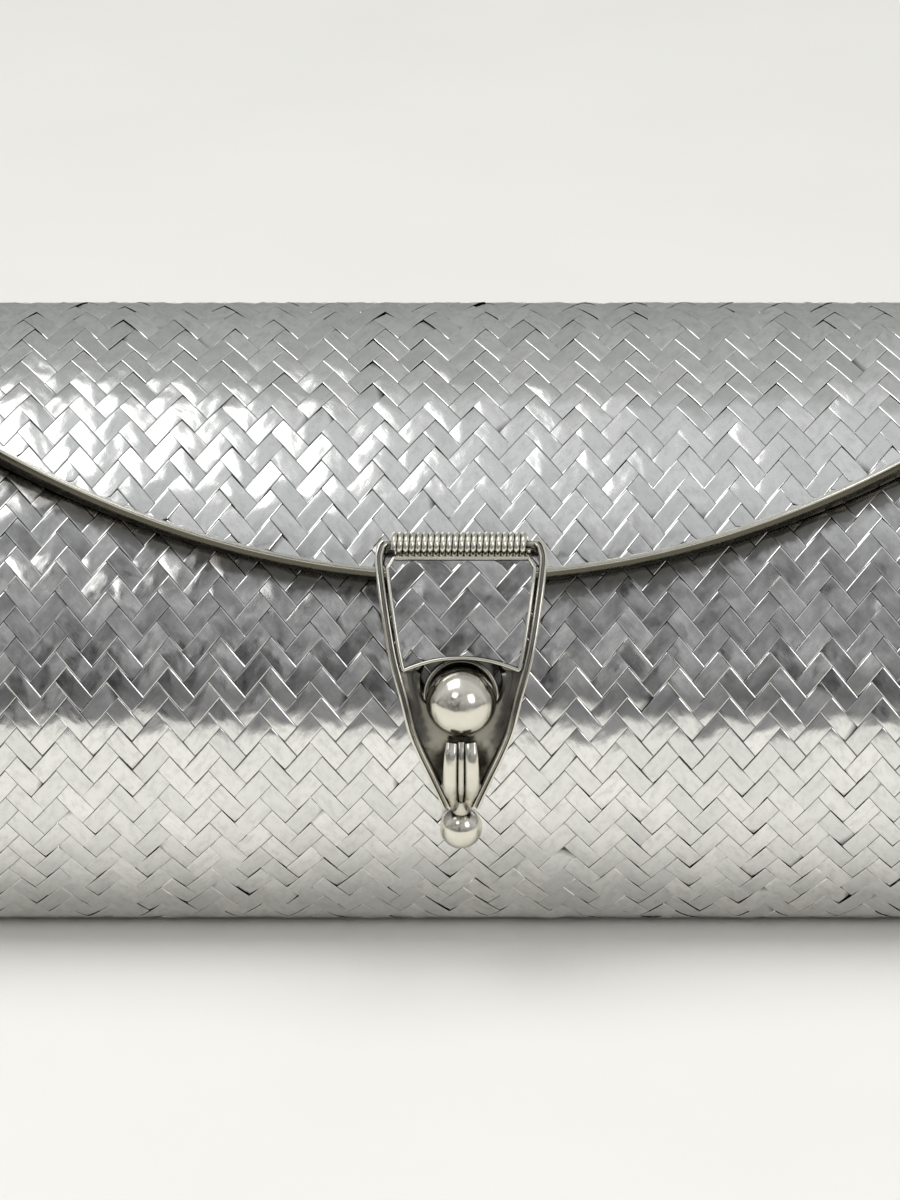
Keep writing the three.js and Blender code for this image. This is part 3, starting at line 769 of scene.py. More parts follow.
def flap_rim():
    """The rim's section carried along the flap's edge, from the rear on one side round the front to
    the rear on the other."""
    right = flap_edge(FLAP_CLEAR / 2, 420)
    path = np.concatenate([right[::-1] * (-1, 1), right[1:]])
    places = on_sheet(path[:, 0], path[:, 1], FLAP_TOP + RIM_PROUD)
    shape = along_path(places, sheet_normal(path[:, 1]), RIM_SECTION[:, :2] * (1, -1))
    return shape, {"lip": np.tile(RIM_SECTION[:, 2], len(path))}


HINGE_AXIS = on_sheet(0.0, behind_top(HINGE_ANGLE), HINGE_STAND_OFF)
LEAF_THICKNESS = 1.2
LEAF_HEIGHT = 6.0
SWING_CLEARANCE = 0.4
EASE = 0.2


def knuckle(index):
    """A tube with eased ends, turned about the hinge's axis."""
    pitch = HINGE_LENGTH / KNUCKLES
    x0 = -HINGE_LENGTH / 2 + index * pitch + GAP / 2
    x1 = x0 + pitch - GAP
    profile = ((KNUCKLE_BORE, x0), (KNUCKLE_RADIUS - EASE, x0), (KNUCKLE_RADIUS, x0 + EASE),
               (KNUCKLE_RADIUS, x1 - EASE), (KNUCKLE_RADIUS - EASE, x1), (KNUCKLE_BORE, x1))
    return turned(profile, HINGE_AXIS, (1, 0, 0), 40)


def leaf(index, own, start, end, low):
    """A plate that follows the body beside one knuckle: it meets its own, and for a knuckle of the
    other half its face is kept a clearance off that knuckle."""
    pitch = HINGE_LENGTH / KNUCKLES
    x0 = -HINGE_LENGTH / 2 + index * pitch
    x0, x1 = max(x0, -HINGE_LENGTH / 2 + GAP), min(x0 + pitch, HINGE_LENGTH / 2 - GAP)
    forward = np.linspace(start, end, 60)
    high = np.full(len(forward), low + LEAF_THICKNESS)
    if not own:
        radius = SECTION_ROWS[BACK_TOP_ROW]["radius"]
        off = (forward - behind_top(HINGE_ANGLE)) / radius
        clear = KNUCKLE_RADIUS + SWING_CLEARANCE
        reach = radius + HINGE_STAND_OFF
        under = clear ** 2 - (reach * np.sin(off)) ** 2
        scoop = reach * np.cos(off) - np.sqrt(np.maximum(under, 0)) - radius
        high = np.where((under > 0) & (np.abs(off) < 1), np.minimum(high, scoop), high)
        forward, high = forward[high > low + 0.05], high[high > low + 0.05]
    corners = ((x0, low), (x1, low), (x1, None), (x0, None))
    return bar(np.stack([on_sheet(x, forward, high if lift is None else lift) for x, lift in corners],
                        axis=1))


def hinge_half(first, start, end, low):
    """Every second knuckle with its half's leaf."""
    parts = [leaf(index, index % 2 == first, start, end, low) for index in range(KNUCKLES)]
    parts += [knuckle(index) for index in range(first, KNUCKLES, 2)]
    return together(*parts)


def coil():
    """A wire wound round X: a circle carried along a helix, each turn beside the last."""
    wire = COIL_PITCH / 2 - 0.02
    turn = np.linspace(0, 2 * np.pi * COIL_TURNS, 26 * COIL_TURNS)
    spoke = np.stack([np.zeros_like(turn), -np.cos(turn), np.sin(turn)], axis=1)
    path = np.array((0.0, *COIL_AXIS)) + (COIL_RADIUS - wire) * spoke
    path[:, 0] = np.linspace(-1, 1, len(turn)) * COIL_PITCH * (COIL_TURNS - 1) / 2
    return along_path(path, spoke, rounded(2 * wire, 2 * wire, wire * 0.999))


RAIL_INNER = 1.6
RAIL_OUTER = 1.4
GROOVE_DEPTH = 0.4


def bail_normal(down):
    """The bail's outward normal at distances down from the coil."""
    return on_bail(0.0, down, 1.0) - on_bail(0.0, down, 0.0)


def bail_rail(side):
    """A deep strap on edge, carried down the rail's curve, with a fine groove along its front."""
    path = spline(RAIL_ROWS * (side * BAIL_HALF, BAIL_LENGTH), 160)
    deep = RAIL_INNER + RAIL_OUTER
    profile = rounded(RAIL_WIDTH, deep, 0.3)
    top, floor = deep / 2, deep / 2 - GROOVE_DEPTH
    groove = np.array(((0.26, top), (0.16, floor), (-0.16, floor), (-0.26, top)))
    front = len(profile) // 4
    profile = np.concatenate([profile[:front], groove, profile[front:]])
    places = on_bail(path[:, 0], path[:, 1], (RAIL_OUTER - RAIL_INNER) / 2)
    return along_path(places, bail_normal(path[:, 1]), profile)


# A catch rib's width at its ends, what half a sine adds to it in its middle, and its rounding
RIB_END = 0.92
RIB_SWELL = 0.18
RIB_ROUNDING = 0.47


def catch_rib(x0, x1, sink):
    """A rib with rounded corners down the catch's bulging rows, swollen in its middle by half a sine
    and drawn in towards the thumb ball."""
    rows = spline(CATCH_ROWS * (BAIL_LENGTH, CATCH_HEIGHT, CATCH_HEIGHT), 48)
    down, back, front = rows.T
    pinch = 1 - CATCH_PINCH * soft_step(down / BAIL_LENGTH, 0.8, 0.9)
    front = front - sink
    pinch = pinch * (RIB_END + RIB_SWELL * np.sin(np.linspace(0, np.pi, len(down))))
    middle = on_bail((x0 + x1) / 2 * pinch, down, (back + front) / 2)
    thin = np.minimum((x1 - x0) * pinch, front - back)[:, None]
    outline = rounded(((x1 - x0) * pinch)[:, None], (front - back)[:, None], RIB_ROUNDING * thin)
    return along_path(middle, bail_normal(down), outline)


WEB_HOLE = BALL_RADIUS + 0.85
WEB_END = 0.83 * BAIL_LENGTH
# The web's edge goes this far into what is beside it, and its arch stays level beyond this half width
WEB_LAP = 0.2
WEB_ARCH_HALF = 8.0
WEB_LEAST_WIDTH = 0.3
# The web's section from its hole out to the rails: shares of the way out, and lifts off the bail
WEB_SECTION = np.array(((0.0, -1.5), (0.0, -1.0), (0.06, -0.85), (0.14, -0.95), (0.4, -1.2),
                        (0.7, -1.1), (1.0, -0.7), (1.0, -1.5)))


def catch_web():
    """The hollow plate between the rails below the panel, with a round hole for the ball: a section
    carried round the hole, stretched at each turn to the distance of the outline. A fault is left
    in it: BALL_SHARE places the ball along the body's section, which isn't the same place along the
    bail, so the hole lies 3 mm too high and the ball stands in the plate."""
    ball_down = BALL_SHARE * BAIL_LENGTH
    down = np.linspace(PANEL_BOTTOM + GAP, WEB_END, 90)
    right = np.stack([rail_half(down) - RAIL_WIDTH / 2 + WEB_LAP, down], axis=1)
    x = np.linspace(-right[0, 0], right[0, 0], 60)
    arch = panel_bottom(np.clip(x, -WEB_ARCH_HALF, WEB_ARCH_HALF)) + WEB_LAP
    top = np.stack([x, arch], axis=1)
    outline = np.concatenate([top, right[1:], right[::-1] * (-1, 1)]) - (0, ball_down)
    turn = np.linspace(-np.pi, np.pi, 144, endpoint=False)
    angle = np.arctan2(outline[:, 1], outline[:, 0])
    order = np.argsort(angle)
    reach = np.interp(turn, angle[order], np.hypot(*outline.T)[order], period=2 * np.pi)
    out = WEB_HOLE + np.maximum(reach - WEB_HOLE, WEB_LEAST_WIDTH)[:, None] * WEB_SECTION[:, 0]
    return bar(on_bail(out * np.cos(turn)[:, None], ball_down + out * np.sin(turn)[:, None],
                       np.broadcast_to(WEB_SECTION[:, 1], out.shape)), ring=True)


def pin(radius, half, place, sides):
    """A round pin along X with eased ends, turned about its axis."""
    return turned(((0, -half), (radius - EASE, -half), (radius, EASE - half),
                   (radius, half - EASE), (radius - EASE, half), (0, half)), place, (1, 0, 0), sides)


# The middle rib's half width, as a share of the catch's, and how far it lies back; the thumb's neck
MIDDLE_RIB = 0.11
MIDDLE_SINK = 0.55
NECK_REACH = 1.75
NECK_RADIUS = 1.5
NECK_WAIST = 1.35


def bail_frame():
    """The rails, the rod through the coil, the catch's ribs, and the thumb ball on its neck."""
    rod_half = RAIL_ROWS[0, 0] * BAIL_HALF + RAIL_WIDTH / 2
    rod = pin(ROD_RADIUS, rod_half, np.array((0.0, *COIL_AXIS)), 32)
    inner = CATCH_WIDTH * MIDDLE_RIB
    ribs = [catch_rib(-CATCH_WIDTH / 2, -inner, 0), catch_rib(-inner, inner, MIDDLE_SINK),
            catch_rib(inner, CATCH_WIDTH / 2, 0)]
    thumb = on_bail(0.0, BAIL_LENGTH, 0.0)
    neck_top = on_bail(0.0, BAIL_LENGTH - THUMB_RADIUS * NECK_REACH, 0.0)
    length = float(np.linalg.norm(neck_top - thumb))
    neck = turned(((0, 0), (NECK_RADIUS, 0), (NECK_WAIST, length / 2), (NECK_RADIUS, length), (0, length)),
                  thumb, neck_top - thumb, 32)
    return together(bail_rail(-1), bail_rail(1), rod, *ribs, neck,
                    ball(THUMB_RADIUS, thumb, (0, -1, 0.3), 64))


PANEL_WIRE_SHARE = 0.975
PANEL_WIRE_WIDTH = 0.56
PANEL_WIRE_DEPTH = 0.9


def panel_rim():
    """A thin wire round the bail panel: a rounded section carried just inside its outline."""
    down = np.linspace(PANEL_TOP, PANEL_BOTTOM, 120)
    right = np.stack([panel_half(down), down], axis=1)
    x = np.linspace(right[-1, 0], -right[-1, 0], 60)[1:-1]
    bottom = np.stack([x, panel_bottom(x)], axis=1)
    outline = evenly(np.concatenate([right, bottom, right[::-1] * (-1, 1)]), 320, ring=True)
    places = on_bail(outline[:, 0] * PANEL_WIRE_SHARE, outline[:, 1], PANEL_SINK + WALL)
    wire = rounded(PANEL_WIRE_WIDTH, PANEL_WIRE_DEPTH, 0.25)
    return along_path(places, bail_normal(outline[:, 1]), wire, ring=True)


# The collar's profile up from its foot: how far in from its radius, and how high
COLLAR_ROWS = ((0.4, 0.0), (0.1, 0.12), (0.0, 0.4), (0.0, 0.8), (0.12, 1.08), (0.4, 1.2),
               (0.75, 1.12), (0.95, 0.9))


def ball_stud():
    """The ball on its post and collar, one profile turned about the body's normal."""
    height = BALL_STAND_OFF - GAP
    post_top = height - math.sqrt(BALL_RADIUS ** 2 - POST_RADIUS ** 2)
    turn = np.linspace(math.asin(POST_RADIUS / BALL_RADIUS), np.pi, 56)
    globe = np.stack([BALL_RADIUS * np.sin(turn), height - BALL_RADIUS * np.cos(turn)], axis=1)
    globe[-1, 0] = 0
    collar = [(COLLAR_RADIUS - inset, at) for inset, at in COLLAR_ROWS]
    post = [(POST_RADIUS + 0.5, 0.9), (POST_RADIUS, 1.3), (POST_RADIUS, post_top - 0.1)]
    profile = np.concatenate([((0, 0), *collar, *post), globe])
    return turned(profile, on_sheet(0.0, BALL_FORWARD, GAP), sheet_normal(BALL_FORWARD), 96)


# Finishes

def node(material, kind, inputs=None, output=0, **settings):
    """Adds a node to a material with its settings; each input is a value, or an output to link. Gives
    the output asked for, where the node has any."""
    made = material.node_tree.nodes.new(kind)
    for key, value in settings.items():
        setattr(made, key, value)
    for socket, value in (inputs or {}).items():
        if isinstance(value, bpy.types.NodeSocket):
            material.node_tree.links.new(value, made.inputs[socket])
        else:
            made.inputs[socket].default_value = value
    return made.outputs[output] if len(made.outputs) else None


def span(value, low, high, out_low=0.0, out_high=1.0):
    """Inputs of a map range: a value taken from one span to another, straight and held at its ends."""
    return {"Value": value, "From Min": low, "From Max": high, "To Min": out_low, "To Max": out_high}


def colours(share, first, second):
    """Inputs of a colour mix: its share, and the colours at none and at all of it."""
    return {0: share, 6: first, 7: second}


# Settings of a mix of two colours, and of a product
MIX = {"output": 2, "data_type": "RGBA"}
TIMES = {"operation": "MULTIPLY"}


def empty_material(name):
    """A new material without nodes."""
    material = bpy.data.materials.new(name)
    material.use_nodes = True
    material.node_tree.nodes.clear()
    return material


def cloudy(material, where, size, detail=2.0, rough=0.5, stretch=(1.0, 1.0, 1.0), unit_length=MM):
    """Clouds whose features are about a size in millimetres, for coordinates of a unit's length;
    stretch makes them longer one way."""
    scale = tuple(1 / (size * unit_length * longer) for longer in stretch)
    place = node(material, "ShaderNodeMapping", {"Vector": where, "Scale": scale})
    return node(material, "ShaderNodeTexNoise", {
        "Vector": place, "Scale": 1.0, "Detail": detail, "Roughness": rough,
    }, output="Fac")


def bumps(material, heights):
    """Bumps laid over each other, each a height and its depth in millimetres."""
    normal = None
    for height, depth in heights:
        inputs = {"Height": height, "Distance": depth * MM, "Strength": 1.0}
        if normal is not None:
            inputs["Normal"] = normal
        normal = node(material, "ShaderNodeBump", inputs)
    return normal


def open_share(material, reach, low, high):
    """How open a place is, from ambient occlusion, for painting shade: 0 in hollows within a reach in
    millimetres, 1 in the open.
    """
    opening = node(material, "ShaderNodeAmbientOcclusion", {"Distance": reach * MM}, output="AO",
                   samples=8)
    return node(material, "ShaderNodeMapRange", span(opening, low, high))


def metal(material, colour, roughness, normal):
    """Bare metal of a colour, a roughness and a relief."""
    shader = node(material, "ShaderNodeBsdfPrincipled", {
        "Base Color": colour, "Metallic": 1.0, "Roughness": roughness, "Normal": normal,
    })
    node(material, "ShaderNodeOutputMaterial", {"Surface": shader})
    return material


def rolled_ribbon_silver():
    """Sterling silver ribbon, rolled flat, woven by hand and polished: nearly white mirror floats with
    soft dents and hairline scratches along them, and bright edges. Painted shade greys the ends that
    dive under, and the floats under and below the flap, on the top and back and on the bail's panel,
    with darker painted shadow bands along the rim and round the ball, but not on the ribbon edges."""
    material = empty_material("rolled_ribbon_silver")
    along = node(material, "ShaderNodeUVMap", uv_map="along_ribbon")
    depth, tone, painted_shade, ribbon_edge = (
        node(material, "ShaderNodeAttribute", output="Fac", attribute_name=label)
        for label in ("float_depth", "float_tone", "painted_shade", "ribbon_edge")
    )
    dents = cloudy(material, along, 3.0, 0.6, 0.4, (1.2, 0.9, 1.0), 1.0)
    ripples = cloudy(material, along, 0.7, 2.0, 0.5, (1.6, 0.8, 1.0), 1.0)
    # Real hairlines are a few microns wide; these are as coarse as they need to be to show
    hairlines = cloudy(material, along, 0.1, 2.0, 0.6, (22.0, 1.0, 1.0), 1.0)
    haze = cloudy(material, along, 1.3, 4.0, 0.65, (1.6, 1.0, 1.0), 1.0)
    specks = cloudy(material, along, 0.3, 2.0, 0.5, (1.0, 1.0, 1.0), 1.0)
    blotches = cloudy(material, along, 4.0, 3.0, 0.6, (1.4, 1.0, 1.0), 1.0)

    # Open silver: each float its own brightness, with clouds and a few specks
    bright = node(material, "ShaderNodeMix", colours(tone, srgb("#E2E2E0"), srgb("#F4F3F0")), **MIX)
    hazed = node(material, "ShaderNodeMapRange", span(haze, 0.45, 0.8))
    clouded = node(material, "ShaderNodeMix", colours(hazed, bright, srgb("#CFCFCC")), **MIX)
    specked = node(material, "ShaderNodeMapRange", span(specks, 0.74, 0.8))
    pitted = node(material, "ShaderNodeMix", colours(specked, clouded, srgb("#B4B3AF")), **MIX)

    # Painted shade: dull in blotches and float by float, but not on the ribbon edges
    patchy = node(material, "ShaderNodeMath", {
        0: node(material, "ShaderNodeMapRange", span(blotches, 0.3, 0.7, 0.55, 1.35)),
        1: node(material, "ShaderNodeMapRange", span(tone, 0.0, 1.0, 1.3, 0.55)),
    }, **TIMES)
    patchy_shade = node(material, "ShaderNodeMath", {0: painted_shade, 1: patchy}, use_clamp=True, **TIMES)
    off_edge = node(material, "ShaderNodeMapRange", span(ribbon_edge, 0.0, 1.0, 1.0, 0.1))
    dulled = node(material, "ShaderNodeMath", {0: patchy_shade, 1: off_edge}, **TIMES)
    kept = node(material, "ShaderNodeMix", colours(dulled, pitted, srgb("#7E7D7B")), **MIX)
    # Darker painted shadow bands along the flap's rim and round the ball
    cornered = node(material, "ShaderNodeMapRange", span(painted_shade, 1.05, 2.1))
    by_rim = node(material, "ShaderNodeMix", colours(cornered, kept, srgb("#66645F")), **MIX)
    # Painted shade on the ribbon ends that dive under their neighbours
    sunk = node(material, "ShaderNodeMapRange", span(depth, 0.6, 1.0))
    colour = node(material, "ShaderNodeMix", colours(sunk, by_rim, srgb("#5E5C57")), **MIX)

    polish = node(material, "ShaderNodeMapRange", span(haze, 0.35, 0.75, 0.09, 0.23))
    normal = bumps(material, ((dents, 0.13), (ripples, 0.007), (hairlines, 0.003)))
    return metal(material, colour, polish, normal)


def backing_silver():
    """Silver sheet behind the weave, never polished: a dull dark grey in the gaps between ribbons,
    and a soft satin where it lines the inside."""
    material = empty_material("backing_silver")
    place = node(material, "ShaderNodeTexCoord", output="Object")
    cloud = cloudy(material, place, 9.0, 3.0)
    grain = cloudy(material, place, 0.35, 2.0)
    colour = node(material, "ShaderNodeMix", colours(cloud, srgb("#9C9B97"), srgb("#B7B5AF")), **MIX)
    satin = node(material, "ShaderNodeMapRange", span(cloud, 0.3, 0.7, 0.38, 0.5))
    return metal(material, colour, satin, bumps(material, ((grain, 0.012),)))


def polished_strip_silver():
    """Drawn silver strip, filed round and buffed: a clear mirror broken by faint waves and fine
    scuffs, slightly warm beside the woven ribbon, with painted dark shade in hollows and close to other
    parts."""
    material = empty_material("polished_strip_silver")
    place = node(material, "ShaderNodeTexCoord", output="Object")
    waves = cloudy(material, place, 5.0, 1.0)
    scuffs = cloudy(material, place, 0.25, 3.0, 0.65)
    cloud = cloudy(material, place, 3.0, 3.0)
    shade = open_share(material, 3.0, 0.25, 0.75)
    buffed = node(material, "ShaderNodeMix", colours(cloud, srgb("#CFCCBF"), srgb("#E6E3D7")), **MIX)
    # Painted shade: dark brown where other parts close in
    colour = node(material, "ShaderNodeMix", colours(shade, srgb("#4F4B40"), buffed), **MIX)
    polish = node(material, "ShaderNodeMapRange", span(cloud, 0.3, 0.7, 0.12, 0.22))
    return metal(material, colour, polish, bumps(material, ((waves, 0.07), (scuffs, 0.0015))))


def folded_edge_silver():
    """Silver strip folded over the flap's edge: a painted pale highlight along its lip, and painted
    dark shade down its outer side, in patches and darker still in hollows."""
    material = empty_material("folded_edge_silver")
    place = node(material, "ShaderNodeTexCoord", output="Object")
    waves = cloudy(material, place, 4.0, 2.0)
    scuffs = cloudy(material, place, 0.3, 3.0, 0.65)
    patches = cloudy(material, place, 2.2, 3.0, 0.6)
    lip = node(material, "ShaderNodeAttribute", output="Fac", attribute_name="lip")
    shade = open_share(material, 4.0, 0.5, 0.97)
    # Painted shade down the outer side, in patches and darker in hollows
    shade_patches = node(material, "ShaderNodeMix", colours(patches, srgb("#5B584E"), srgb("#78756A")),
                     **MIX)
    dull = node(material, "ShaderNodeMix", colours(shade, shade_patches, srgb("#5F5C51")), **MIX)
    # A painted pale highlight along the lip
    colour = node(material, "ShaderNodeMix", colours(lip, dull, srgb("#DEDBD0")), **MIX)
    polish = node(material, "ShaderNodeMapRange", span(patches, 0.3, 0.7, 0.18, 0.32))
    return metal(material, colour, polish, bumps(material, ((waves, 0.08), (scuffs, 0.003))))


def clasp_silver(name, reach, low, high, hollow="#39342A"):
    """Cast or drawn silver, soldered and buffed bright by hand: a warm mirror with soft waves, with
    painted brown shade in hollows and where parts close in."""
    material = empty_material(name)
    place = node(material, "ShaderNodeTexCoord", output="Object")
    waves = cloudy(material, place, 2.6, 1.0)
    scuffs = cloudy(material, place, 0.2, 3.0, 0.65)
    cloud = cloudy(material, place, 1.8, 3.0)
    shade = open_share(material, reach, low, high)
    warm = node(material, "ShaderNodeMix", colours(cloud, srgb("#DAD5C6"), srgb("#F1EEE2")), **MIX)
    # Painted shade: the hollow colour where other parts close in
    colour = node(material, "ShaderNodeMix", colours(shade, srgb(hollow), warm), **MIX)
    polish = node(material, "ShaderNodeMapRange", span(cloud, 0.3, 0.7, 0.13, 0.22))
    return metal(material, colour, polish, bumps(material, ((waves, 0.085), (scuffs, 0.001))))


RIBBON = rolled_ribbon_silver()
BACKING = backing_silver()
STRIP = polished_strip_silver()
CLASP = clasp_silver("cast_clasp_silver", 4.0, 0.35, 1.0)
WINDING = clasp_silver("drawn_wire_silver", 0.6, 0.3, 0.7)
# The web behind the ball is painted darker still, as shade in the cavity
HOLLOW = clasp_silver("shaded_cast_silver", 6.0, 0.25, 1.35, "#2B261D")
EDGE = folded_edge_silver()


# The woven sheets. A weave's start is where its first float's centre lies, across and up.

WRAP_START = (-0.74, -0.06)
PLAIN_START = (COLUMN_PITCH / 4, WRAP_PITCHES[1] / 4)
PLAIN_PITCHES = (COLUMN_PITCH, STACK_PITCH)
# A backing sheet lies a clearance below the ribbons' dip
BACKING_DEPTH = RIBBON_DIP + 0.25
BACKING_WALL = 0.4

woven("wrap_ribbons", on_body(0.0), wrap_clamp, WRAP_BOX, WRAP_PITCHES, WRAP_START, RIBBON_DIP,
      RIBBON, "body", ("body_wrap",), 11, painted_shade=under_flap)
backing("wrap_backing", on_body(0.0), wrap_clamp, WRAP_BOX, 2.4, BACKING_DEPTH, BACKING_WALL,
        BACKING, "body", ("body_wrap",))

woven("flap_ribbons", on_body(FLAP_TOP), flap_clamp, FLAP_BOX, PLAIN_PITCHES, PLAIN_START, RIBBON_DIP,
      RIBBON, "flap", ("flap_shell",), 23)
backing("flap_backing", on_body(FLAP_TOP), flap_clamp, FLAP_BOX, 2.0, BACKING_DEPTH, BACKING_WALL,
        BACKING, "flap", ("flap_shell",))

# Wide enough for the ends' D from its back to its belly, and from its foot to its top
END_BOX = ((-32.0, -1.0), (32.0, 91.0))

for side, label in ((-1, "left"), (1, "right")):
    woven(f"end_ribbons_{label}", on_end(side), end_clamp(side), END_BOX, PLAIN_PITCHES, PLAIN_START,
          RIBBON_DIP, RIBBON, "body", (f"end_panel_{label}",), 40 + side)
    backing(f"end_backing_{label}", on_end(side), end_clamp(side), END_BOX, 2.4, BACKING_DEPTH,
            BACKING_WALL, BACKING, "body", (f"end_panel_{label}",))
    make_piece(f"end_binding_{label}", end_band(side), STRIP, "body",
               (f"end_band_{label}",))

PANEL_BOX = ((-BAIL_HALF, -PANEL_BOTTOM - 0.5), (BAIL_HALF, -PANEL_TOP + 0.5))
PANEL_PITCHES = (PANEL_COLUMN_PITCH, PANEL_STACK_PITCH)
PANEL_START = (-0.2, -11.0)
PANEL_DIP = 0.24
PANEL_BACKING_DEPTH = 0.7

# The panel's ribbons get an even painted shade
woven("panel_ribbons", on_panel, panel_clamp, PANEL_BOX, PANEL_PITCHES, PANEL_START, PANEL_DIP,
      RIBBON, "bail", ("bail_panel",), 61, painted_shade=lambda x, up: np.full(len(x), SHADE_PANEL))
backing("panel_backing", on_panel, panel_clamp, PANEL_BOX, 0.6, PANEL_BACKING_DEPTH, BACKING_WALL,
        BACKING, "bail", ("bail_panel",))
make_piece("panel_rim", panel_rim(), STRIP, "bail", ("bail_panel",))

# The bindings
make_piece("mouth_binding", mouth_band(), STRIP, "body", ("mouth_band",))
rim_shape, rim_marks = flap_rim()
make_piece("flap_binding", rim_shape, EDGE, "flap", ("flap_rim",), marks=rim_marks)

# The hinge: the body's leaf reaches a little past the axis, and the flap's starts a little below it
BODY_LEAF = (behind_top(180 - BACK_LEAN) - LEAF_HEIGHT,
             behind_top(HINGE_ANGLE) + SECTION_ROWS[BACK_TOP_ROW]["radius"] * math.radians(10))
FLAP_LEAF = (behind_top(HINGE_ANGLE - 8), behind_top(FLAP_REAR_ANGLE) - GAP)
PIN_RADIUS = 0.85

make_piece("hinge_body_half", hinge_half(0, *BODY_LEAF, GAP), STRIP, "body",
           ("body_hinge",))
make_piece("hinge_flap_half", hinge_half(1, *FLAP_LEAF, FLAP_LIFT), STRIP, "flap",
           ("flap_hinge",))
make_piece("hinge_wire", pin(PIN_RADIUS, HINGE_LENGTH / 2 + GAP, HINGE_AXIS, 24), STRIP, "body",
           ("hinge_pin",))

# The clasp
make_piece("coil_winding", coil(), WINDING, "flap", ("coil_barrel",))
make_piece("clasp_frame", bail_frame(), CLASP, "bail", ("bail_frame",))
make_piece("clasp_web", catch_web(), HOLLOW, "bail", ("bail_frame",))
make_piece("clasp_ball", ball_stud(), CLASP, "body", ("ball_stud",), sharp=50.0)


# The table, the light and the camera

TARGET = Vector((-1.75, -25.9, 59.05)) * MM
CAMERA_DISTANCE = 1.2


TABLE_WIDTH = 1800.0
TABLE_DEPTH = 1430.0
TABLE_MIDDLE = np.array((0.0, 385.0))
# The table's edge from below: how much smaller its outline is there, and how low
TABLE_EDGE = ((0.0125, -30.0), (0.0, -25.0), (0.0, -5.0), (0.0125, 0.0))


def table_top():
    """A pale table, its top at the purse's foot: a rounded outline drawn in at its eased edges."""
    outline = rounded(TABLE_WIDTH, TABLE_DEPTH, 90.0, 12)
    rings = []
    for inset, low in TABLE_EDGE:
        ring = TABLE_MIDDLE + outline * (1 - inset)
        rings.append(np.column_stack([ring, np.full(len(ring), low)]))
    points, faces = bar(np.array(rings))
    mesh = bpy.data.meshes.new("table_top")
    mesh.from_pydata((points * MM).tolist(), [], [row for rows in faces for row in rows.tolist()])
    mesh.update()
    # Lacquer, sprayed and left matt: pale and even, without a mirror image of the purse
    material = empty_material("matt_lacquer")
    cloud = cloudy(material, node(material, "ShaderNodeTexCoord", output="Object"), 60.0, 3.0)
    colour = node(material, "ShaderNodeMix", colours(cloud, srgb("#ECEAE4"), srgb("#F2F0EB")), **MIX)
    shader = node(material, "ShaderNodeBsdfPrincipled", {"Base Color": colour, "Roughness": 0.7})
    node(material, "ShaderNodeOutputMaterial", {"Surface": shader})
    mesh.materials.append(material)
    table = bpy.data.objects.new("table_top", mesh)
    bpy.context.scene.collection.objects.link(table)


def soft_box(name, place, aim, size, radiance, mirrored=True):
    """A rectangular light at a place in millimetres, turned to its aim, as bright as a radiance: its
    power is that times pi times its area."""
    light = bpy.data.lights.new(name, "AREA")
    light.shape = "RECTANGLE"
    light.size, light.size_y = (value * MM for value in size)
    light.energy = radiance * math.pi * light.size * light.size_y
    lamp = bpy.data.objects.new(name, light)
    lamp.location = Vector(place) * MM
    lamp.rotation_euler = (Vector(aim) * MM - lamp.location).to_track_quat("-Z", "Y").to_euler()
    bpy.context.scene.collection.objects.link(lamp)
    lamp.visible_camera = False
    lamp.visible_glossy = mirrored


# What the silver mirrors, by the angle in the plane across the purse: 0 is level in front, 90 is
# straight up and 180 level behind. Each row is an angle and the room's colour there.
ROOM_ROWS = (
    (-90, "#B6B5B2"), (-9, "#B6B5B2"), (-3, "#959596"), (7, "#A4A4A6"), (17, "#C8C9CB"),
    (30, "#CCCDCF"), (46, "#CBCDCE"), (58, "#CED0D2"), (70, "#D7D9DB"), (96, "#D6D8DA"),
    (104, "#B8BABA"), (125, "#B0B2B0"), (180, "#9C9E9C"),
)


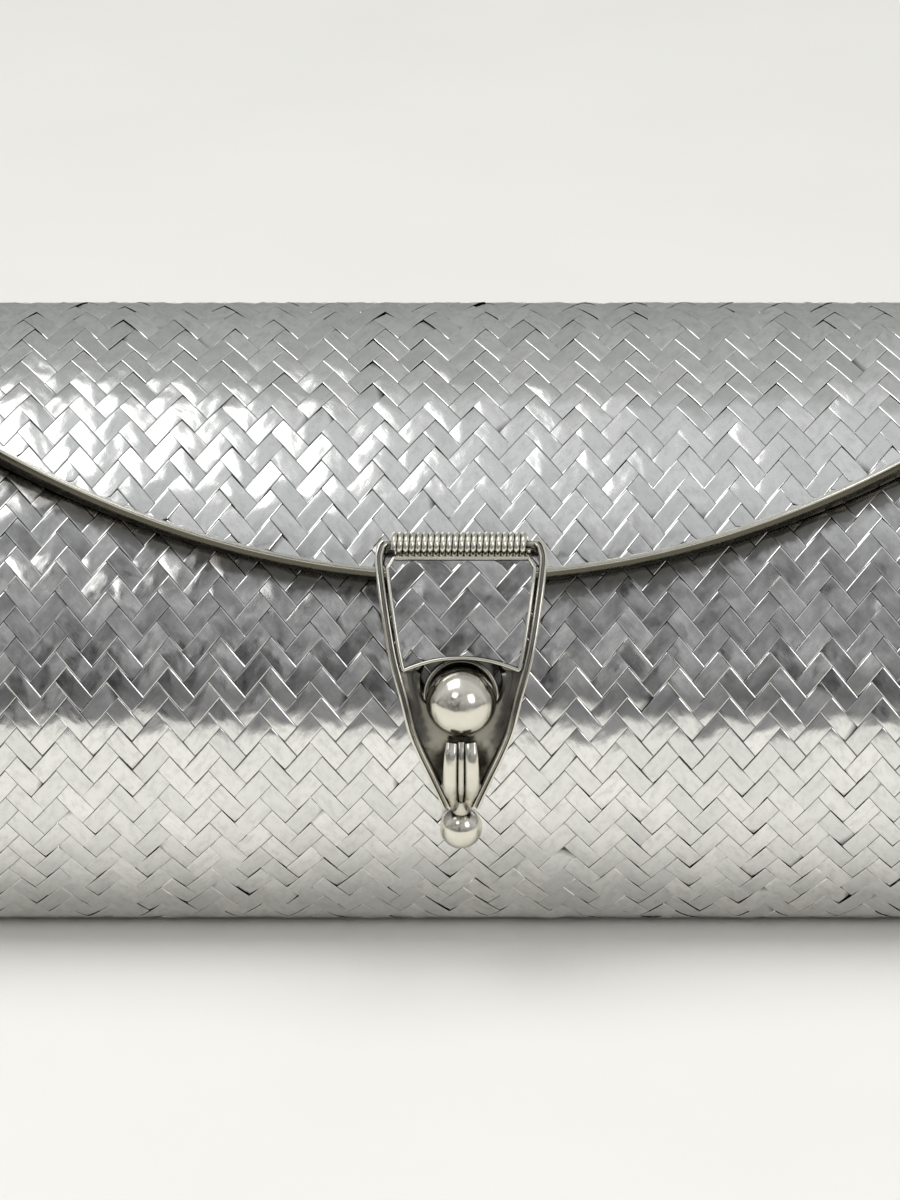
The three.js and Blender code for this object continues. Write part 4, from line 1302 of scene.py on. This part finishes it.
def studio():
    """A white room to the camera; in the silver a room that is grey in front at the level of the
    purse, pale overhead and grey behind."""
    world = bpy.data.worlds.new("studio")
    world.use_nodes = True
    world.node_tree.nodes.clear()
    way = node(world, "ShaderNodeTexCoord", output="Generated")
    parts = node(world, "ShaderNodeSeparateXYZ", {"Vector": way}).node.outputs
    ahead = node(world, "ShaderNodeMath", {0: parts["Y"], 1: -1.0}, **TIMES)
    turn = node(world, "ShaderNodeMath", {0: parts["Z"], 1: ahead}, operation="ARCTAN2")
    share = node(world, "ShaderNodeMapRange", span(turn, -math.pi / 2, math.pi))
    room = node(world, "ShaderNodeValToRGB", {"Fac": share})
    ramp = room.node.color_ramp
    first, last = ROOM_ROWS[0][0], ROOM_ROWS[-1][0]
    for number, (angle, colour) in enumerate(ROOM_ROWS):
        at = (angle - first) / (last - first)
        stop = ramp.elements[number] if number < 2 else ramp.elements.new(at)
        stop.position, stop.color = at, srgb(colour)
    # Furniture and curtains break up the lower half of the room, and less so on the right
    clutter = node(world, "ShaderNodeTexNoise", {
        "Vector": way, "Scale": 9.0, "Detail": 3.0, "Roughness": 0.6,
    }, output="Fac")
    crowded = node(world, "ShaderNodeMapRange", span(clutter, 0.4, 0.64))
    on_left = node(world, "ShaderNodeMapRange", span(parts["X"], -0.08, 0.08, 1.0, 0.45))
    low_down = node(world, "ShaderNodeMapRange",
                    span(turn, math.radians(40), math.radians(62), 1.0, 0.15))
    on_side = node(world, "ShaderNodeMath", {0: crowded, 1: on_left}, **TIMES)
    dim = node(world, "ShaderNodeMath", {0: on_side, 1: low_down}, **TIMES)
    mirrored = node(world, "ShaderNodeMix", colours(dim, room, srgb("#3E3E40")), **MIX)
    seen = node(world, "ShaderNodeLightPath", output="Is Camera Ray")
    colour = node(world, "ShaderNodeMix", colours(seen, mirrored, srgb("#F4F3F0")), **MIX)
    ground = node(world, "ShaderNodeBackground", {"Color": colour, "Strength": 1.0})
    node(world, "ShaderNodeOutputWorld", {"Surface": ground})
    bpy.context.scene.world = world


def camera():
    """The photograph's view: a long lens from the front, twenty degrees up."""
    lens = bpy.data.cameras.new("camera")
    lens.sensor_width, lens.lens = 36.0, 226.8
    eye = bpy.data.objects.new("camera", lens)
    rise = math.radians(20)
    back = Vector((0, -math.cos(rise), math.sin(rise)))
    eye.location = TARGET + back * CAMERA_DISTANCE
    eye.rotation_euler = (-back).to_track_quat("-Z", "Y").to_euler()
    bpy.context.scene.collection.objects.link(eye)
    bpy.context.scene.camera = eye


table_top()
studio()
camera()
# Lights: place, aim and size in millimetres, and how bright they look
soft_box("key_box", (-395, -75, 985), (-395, -75, 0), (620, 530), 1.8)
soft_box("table_box", (0, 150, 1500), (0, 50, 0), (1400, 1200), 2.1, mirrored=False)
soft_box("window_left", (-260, -560, 600), (0, -40, 40), (170, 190), 2.4)
soft_box("window_right", (420, -560, 420), (0, -40, 40), (260, 330), 2.2)

bpy.context.scene.view_settings.view_transform = "Standard"
